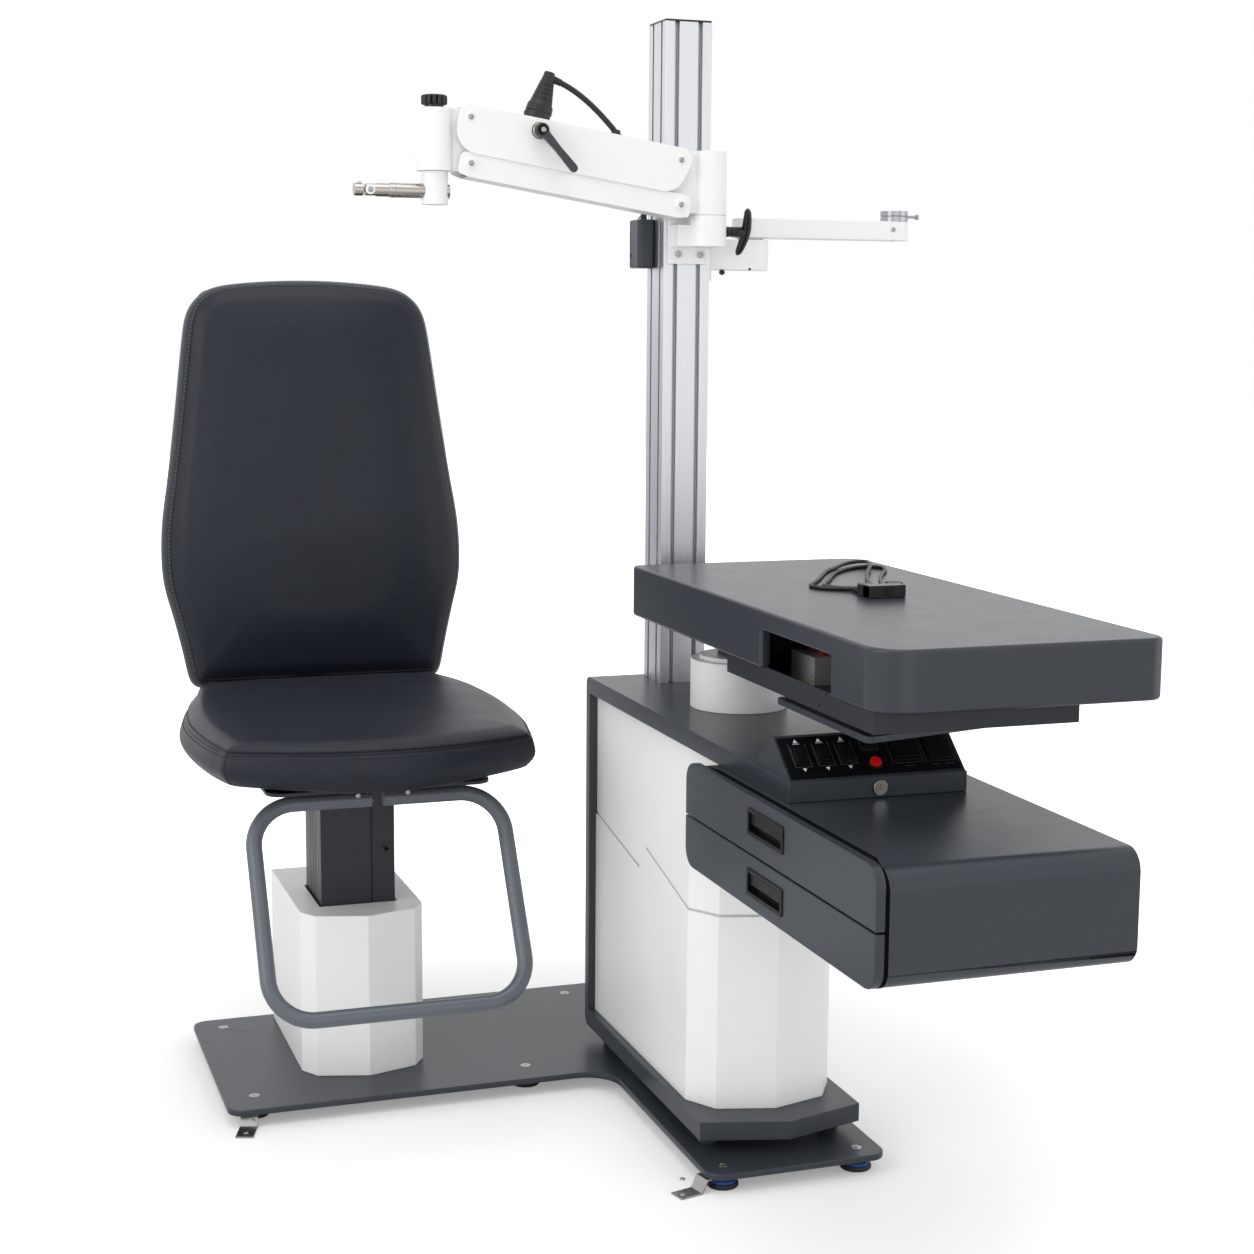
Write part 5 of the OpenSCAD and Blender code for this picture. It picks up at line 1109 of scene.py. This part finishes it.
def make_seat():
    low, high = box_mm("seat_cushion")
    origin = np.array([*CHAIR, 0.0])
    rings = cushion(
        "seat_cover", seat_rings, SEAT_COARSE, SEAT_FINE, 440, 132, (0.25, 0.5, 0.75, 0.93, 1.0, 2.0), 5.0,
        ((1.93, 0.026, 2.0), (2.018, 0.008, 2.0), (1.86, 0.02, 0.5), (2.045, 0.006, 0.5)), lambda v: v + origin,
        (low - (6, 6, 0), high + (6, 6, 6)))
    rows = []
    for p in (1.86, 2.045):
        i = near(SEAT_FINE, p)
        rows.append(open_row(rings[i] + origin, ring_normals(rings, i), rings[i][:, 1] < 236))
    # Upright seams at the front corners
    middle = rings[near(SEAT_FINE, 1.5)]
    for sign in (-1, 1):
        j = int(np.argmax(middle[:, 0] * sign * 0.75 - middle[:, 1] * 0.66))
        span = [i for i, p in enumerate(SEAT_FINE) if 1.03 <= p <= 1.95]
        line = np.array([rings[i][j] + origin for i in span])
        face = np.array([ring_normals(rings, i)[j] for i in span])
        seam = Part("seat_corner_seam_" + ("right" if sign > 0 else "left"))
        seam.tube(line - face * 0.5, 1.1, SEAM, steps=8).make("seat", "leatherette", flat_faces=False)
        rows.append((line + np.cross([0, 0, 1], face) * 3.2 - face * 0.1, face))
    stitch_rows("seat_stitches", rows, SEAM)


BACK_H, BACK_HALF, BACK_T, BACK_CORNER = 710.0, 268.0, 58.0, 58.0
BACK_SHARES = [0.84, 0.885, 0.935, 0.99, 1, 0.985, 0.95, 0.918, 0.888, 0.86, 0.832, 0.8, 0.75]
BACK_LEAN = 5.0
BACK_PLACE = np.array([CHAIR[0], 134.0, 631.3])


def back_outline(count):
    side = []
    for s in np.linspace(0, 1, 160):
        z = (BACK_H - 9) * s
        over = max(0.0, z - (BACK_H - 9 - BACK_CORNER)) / BACK_CORNER
        side.append((BACK_HALF * float(spline(BACK_SHARES, s)) - BACK_CORNER * (1 - sqrt(max(0, 1 - over * over))), z))
    edge = side[-1][0]
    top = [(edge * (1 - 2 * u), BACK_H - 9 + 9 * (1 - (1 - 2 * u) ** 2)) for u in np.linspace(0, 1, 30)[1:-1]]
    low = [(-side[0][0] * (1 - 2 * u), 0) for u in np.linspace(0, 1, 24)[1:-1]]
    return smooth_closed(side + top + [(-x, z) for x, z in side[::-1]] + low, 15, count)


def band_depth(h):
    """How far the front seam stands before the rear face, at a share of the height."""
    return BACK_T - 12 * unit(1 - h / 0.2) ** 1.6 - 4 * unit((h - 0.85) / 0.15)


def lumbar(h):
    """Swell of the front over the height: it climbs straight to the lumbar edge, then falls slowly."""
    rise, fall = 33 * h / 0.33, 32 - 21 * (h - 0.33)
    return -np.log(np.exp(-0.3 * rise) + np.exp(-0.3 * fall)) / 0.3 + 2.3


def back_rings(params, count):
    """Back surface: 0 is the rear's middle, 1 its edge, 2 the seam at the front of the band, 3 the front's middle."""
    out = back_outline(count)
    nrm = normals2(out)
    centre = np.array([0.0, BACK_H * 0.45])
    band = band_depth(unit(out[:, 1] / BACK_H))
    foot = unit(1 - out[:, 1] / 60) ** 2
    rings = []
    for p in params:
        drop = -12.0 * foot * (p ** 6 if p < 1 else 1 - 0.5 * (p - 1) if p < 2 else 0.5 * max(0, 1 - (p - 2) / 0.3))
        if p <= 1:
            k = min(1.0, p / 0.9)
            t = max(0.0, (p - 0.9) / 0.1) * pi / 2
            xz = centre + (out - nrm * (8 - 8 * sin(t)) - centre) * k
            y = np.full(count, -0.6 - 7 * (1 - cos(t)))
        elif p <= 2:
            t = p - 1
            xz = out + nrm * (2.4 * sin(pi * t) ** 0.8 - 10 * t ** 2.2)
            y = -7.6 - (band - 7.6) * t
        else:
            xz, a = crown(out, nrm, centre, p - 2, 0.16, 10, 18.0, 2)
            h = unit(xz[:, 1] / BACK_H)
            half = BACK_HALF * spline(BACK_SHARES, h)
            across = unit(1 - np.abs(xz[:, 0] / half) ** 3)
            ends = unit(1 - unit(2 * h - 1) ** 6)
            y = -band_depth(h) - 10 * sin(a) - across * ends * lumbar(h) * sin(a) ** 2
        rings.append(np.column_stack([xz[:, 0], y, xz[:, 1] + drop]))
    return rings


BACK_COARSE = [0.3, 0.6, 0.9, 1.0, 1.25, 1.5, 1.75, 2.0, 2.05, 2.1, 2.16, 2.23, *CROWN_COARSE]
BACK_FINE = [
    0.25, 0.5, 0.75, *np.linspace(0.9, 1.0, 5), *np.linspace(1.06, 1.78, 13), *(1 + v for v in SEAM_FINE[1:]), 2.003,
    2.006, 2.009, 2.012, 2.016, 2.02, 2.025, 2.03, 2.037, 2.045, 2.055, 2.07, 2.085, *np.linspace(2.1, 2.16, 4), 2.19,
    2.22, *np.linspace(2.26, 2.94, 18), 2.985]


def make_back():
    low, high = box_mm("back_cushion")
    lean = radians(BACK_LEAN)
    turn = np.array([[1, 0, 0], [0, cos(lean), sin(lean)], [0, -sin(lean), cos(lean)]])

    def local(v):
        return v @ turn.T + BACK_PLACE

    rings = cushion(
        "back_cover", back_rings, BACK_COARSE, BACK_FINE, 460, 140, (0.3, 0.6, 0.9, 1.0, 2.0), 6.0,
        ((1.985, 0.024, 2.0), (1.92, 0.015, 0.4)), local, (low - (6, 6, 16), high + (6, 2, 6)))
    i = near(BACK_FINE, 1.92)
    row = open_row(local(rings[i]), ring_normals(rings, i) @ turn.T, rings[i][:, 2] > 14)
    stitch_rows("back_stitches", [row], THREAD)


make_seat()
make_back()


# Stage and light
FLOOR_GREY = 238.6140
STAGE_MIDDLE = (-0.35, -0.45, 0)
SHADOW_NEAR, SHADOW_FAR = 0.60, 1.7
FLOOR_GLOW_LOW, FLOOR_GLOW_HIGH = 0.26, 0.94
AMBIENT = 0.74
LAMPS = {
    "key_left": ((-3.5, -1.7, 2.2), (-0.4, -0.5, 0.7), 2.4, 36),
    "overhead": ((-0.6, -1.2, 4.6), (-0.4, -0.4, 0.6), 2.6, 36),
    "front_fill": ((-0.2, -4.8, 1.0), (-0.4, -0.5, 0.5), 2.6, 14),
    "right_fill": ((3.4, -2.6, 1.0), (-0.4, -0.5, 0.7), 2.4, 18)}


def area(name, at, target, size, energy):
    light = bpy.data.lights.new(name, "AREA")
    light.shape, light.size, light.energy = "SQUARE", size, energy
    ob = bpy.data.objects.new(name, light)
    COLLECTION.objects.link(ob)
    ob.location = at
    ob.rotation_euler = (Vector(target) - Vector(at)).to_track_quat("-Z", "Y").to_euler()
    ob.visible_camera = False


def combine(tree, operation, a, b):
    """Math node on two sockets."""
    n = tree.nodes.new("ShaderNodeMath")
    n.operation = operation
    tree.links.new(a, n.inputs[0])
    tree.links.new(b, n.inputs[1])
    return n.outputs[0]


def make_floor():
    """White to the camera far away, with the object's own shadow near it."""
    s = Shade("floor", (FLOOR_GREY,) * 3, 0.9, specular=0.1, Emission_Color=(1, 1, 1, 1))
    dist = s.node("VectorMath", Vector=s.place)
    dist.operation = "DISTANCE"
    dist.inputs[1].default_value = STAGE_MIDDLE
    fall = s.span(dist.outputs["Value"], FLOOR_GLOW_LOW, FLOOR_GLOW_HIGH, SHADOW_NEAR, SHADOW_FAR)
    fall.node.interpolation_type = "SMOOTHSTEP"
    camera_ray = s.node("LightPath").outputs["Is Camera Ray"]
    s.wire("Emission Strength", combine(s.tree, "MULTIPLY", camera_ray, fall))
    corners = [(-16, -16, 0), (16, -16, 0), (16, 16, 0), (-16, 16, 0)]
    mesh_object("floor", corners, [(0, 1, 2, 3)], [s.mat])


def make_world():
    """White where it is seen, mirrored or looked through, and softer as a light."""
    world = bpy.data.worlds.new("world")
    SCENE.world = world
    world.use_nodes = True
    tree = world.node_tree
    back = tree.nodes["Background"]
    back.inputs["Color"].default_value = (1, 1, 1, 1)
    path = tree.nodes.new("ShaderNodeLightPath").outputs
    seen = combine(tree, "MAXIMUM", path["Is Camera Ray"], path["Is Glossy Ray"])
    seen = combine(tree, "MAXIMUM", seen, path["Is Transmission Ray"])
    level = tree.nodes.new("ShaderNodeMapRange")
    level.inputs["To Min"].default_value = AMBIENT
    tree.links.new(seen, level.inputs["Value"])
    tree.links.new(level.outputs[0], back.inputs["Strength"])


make_floor()
make_world()
for lamp_name, lamp in LAMPS.items():
    area(lamp_name, *lamp)
SCENE.view_settings.view_transform = "Standard"
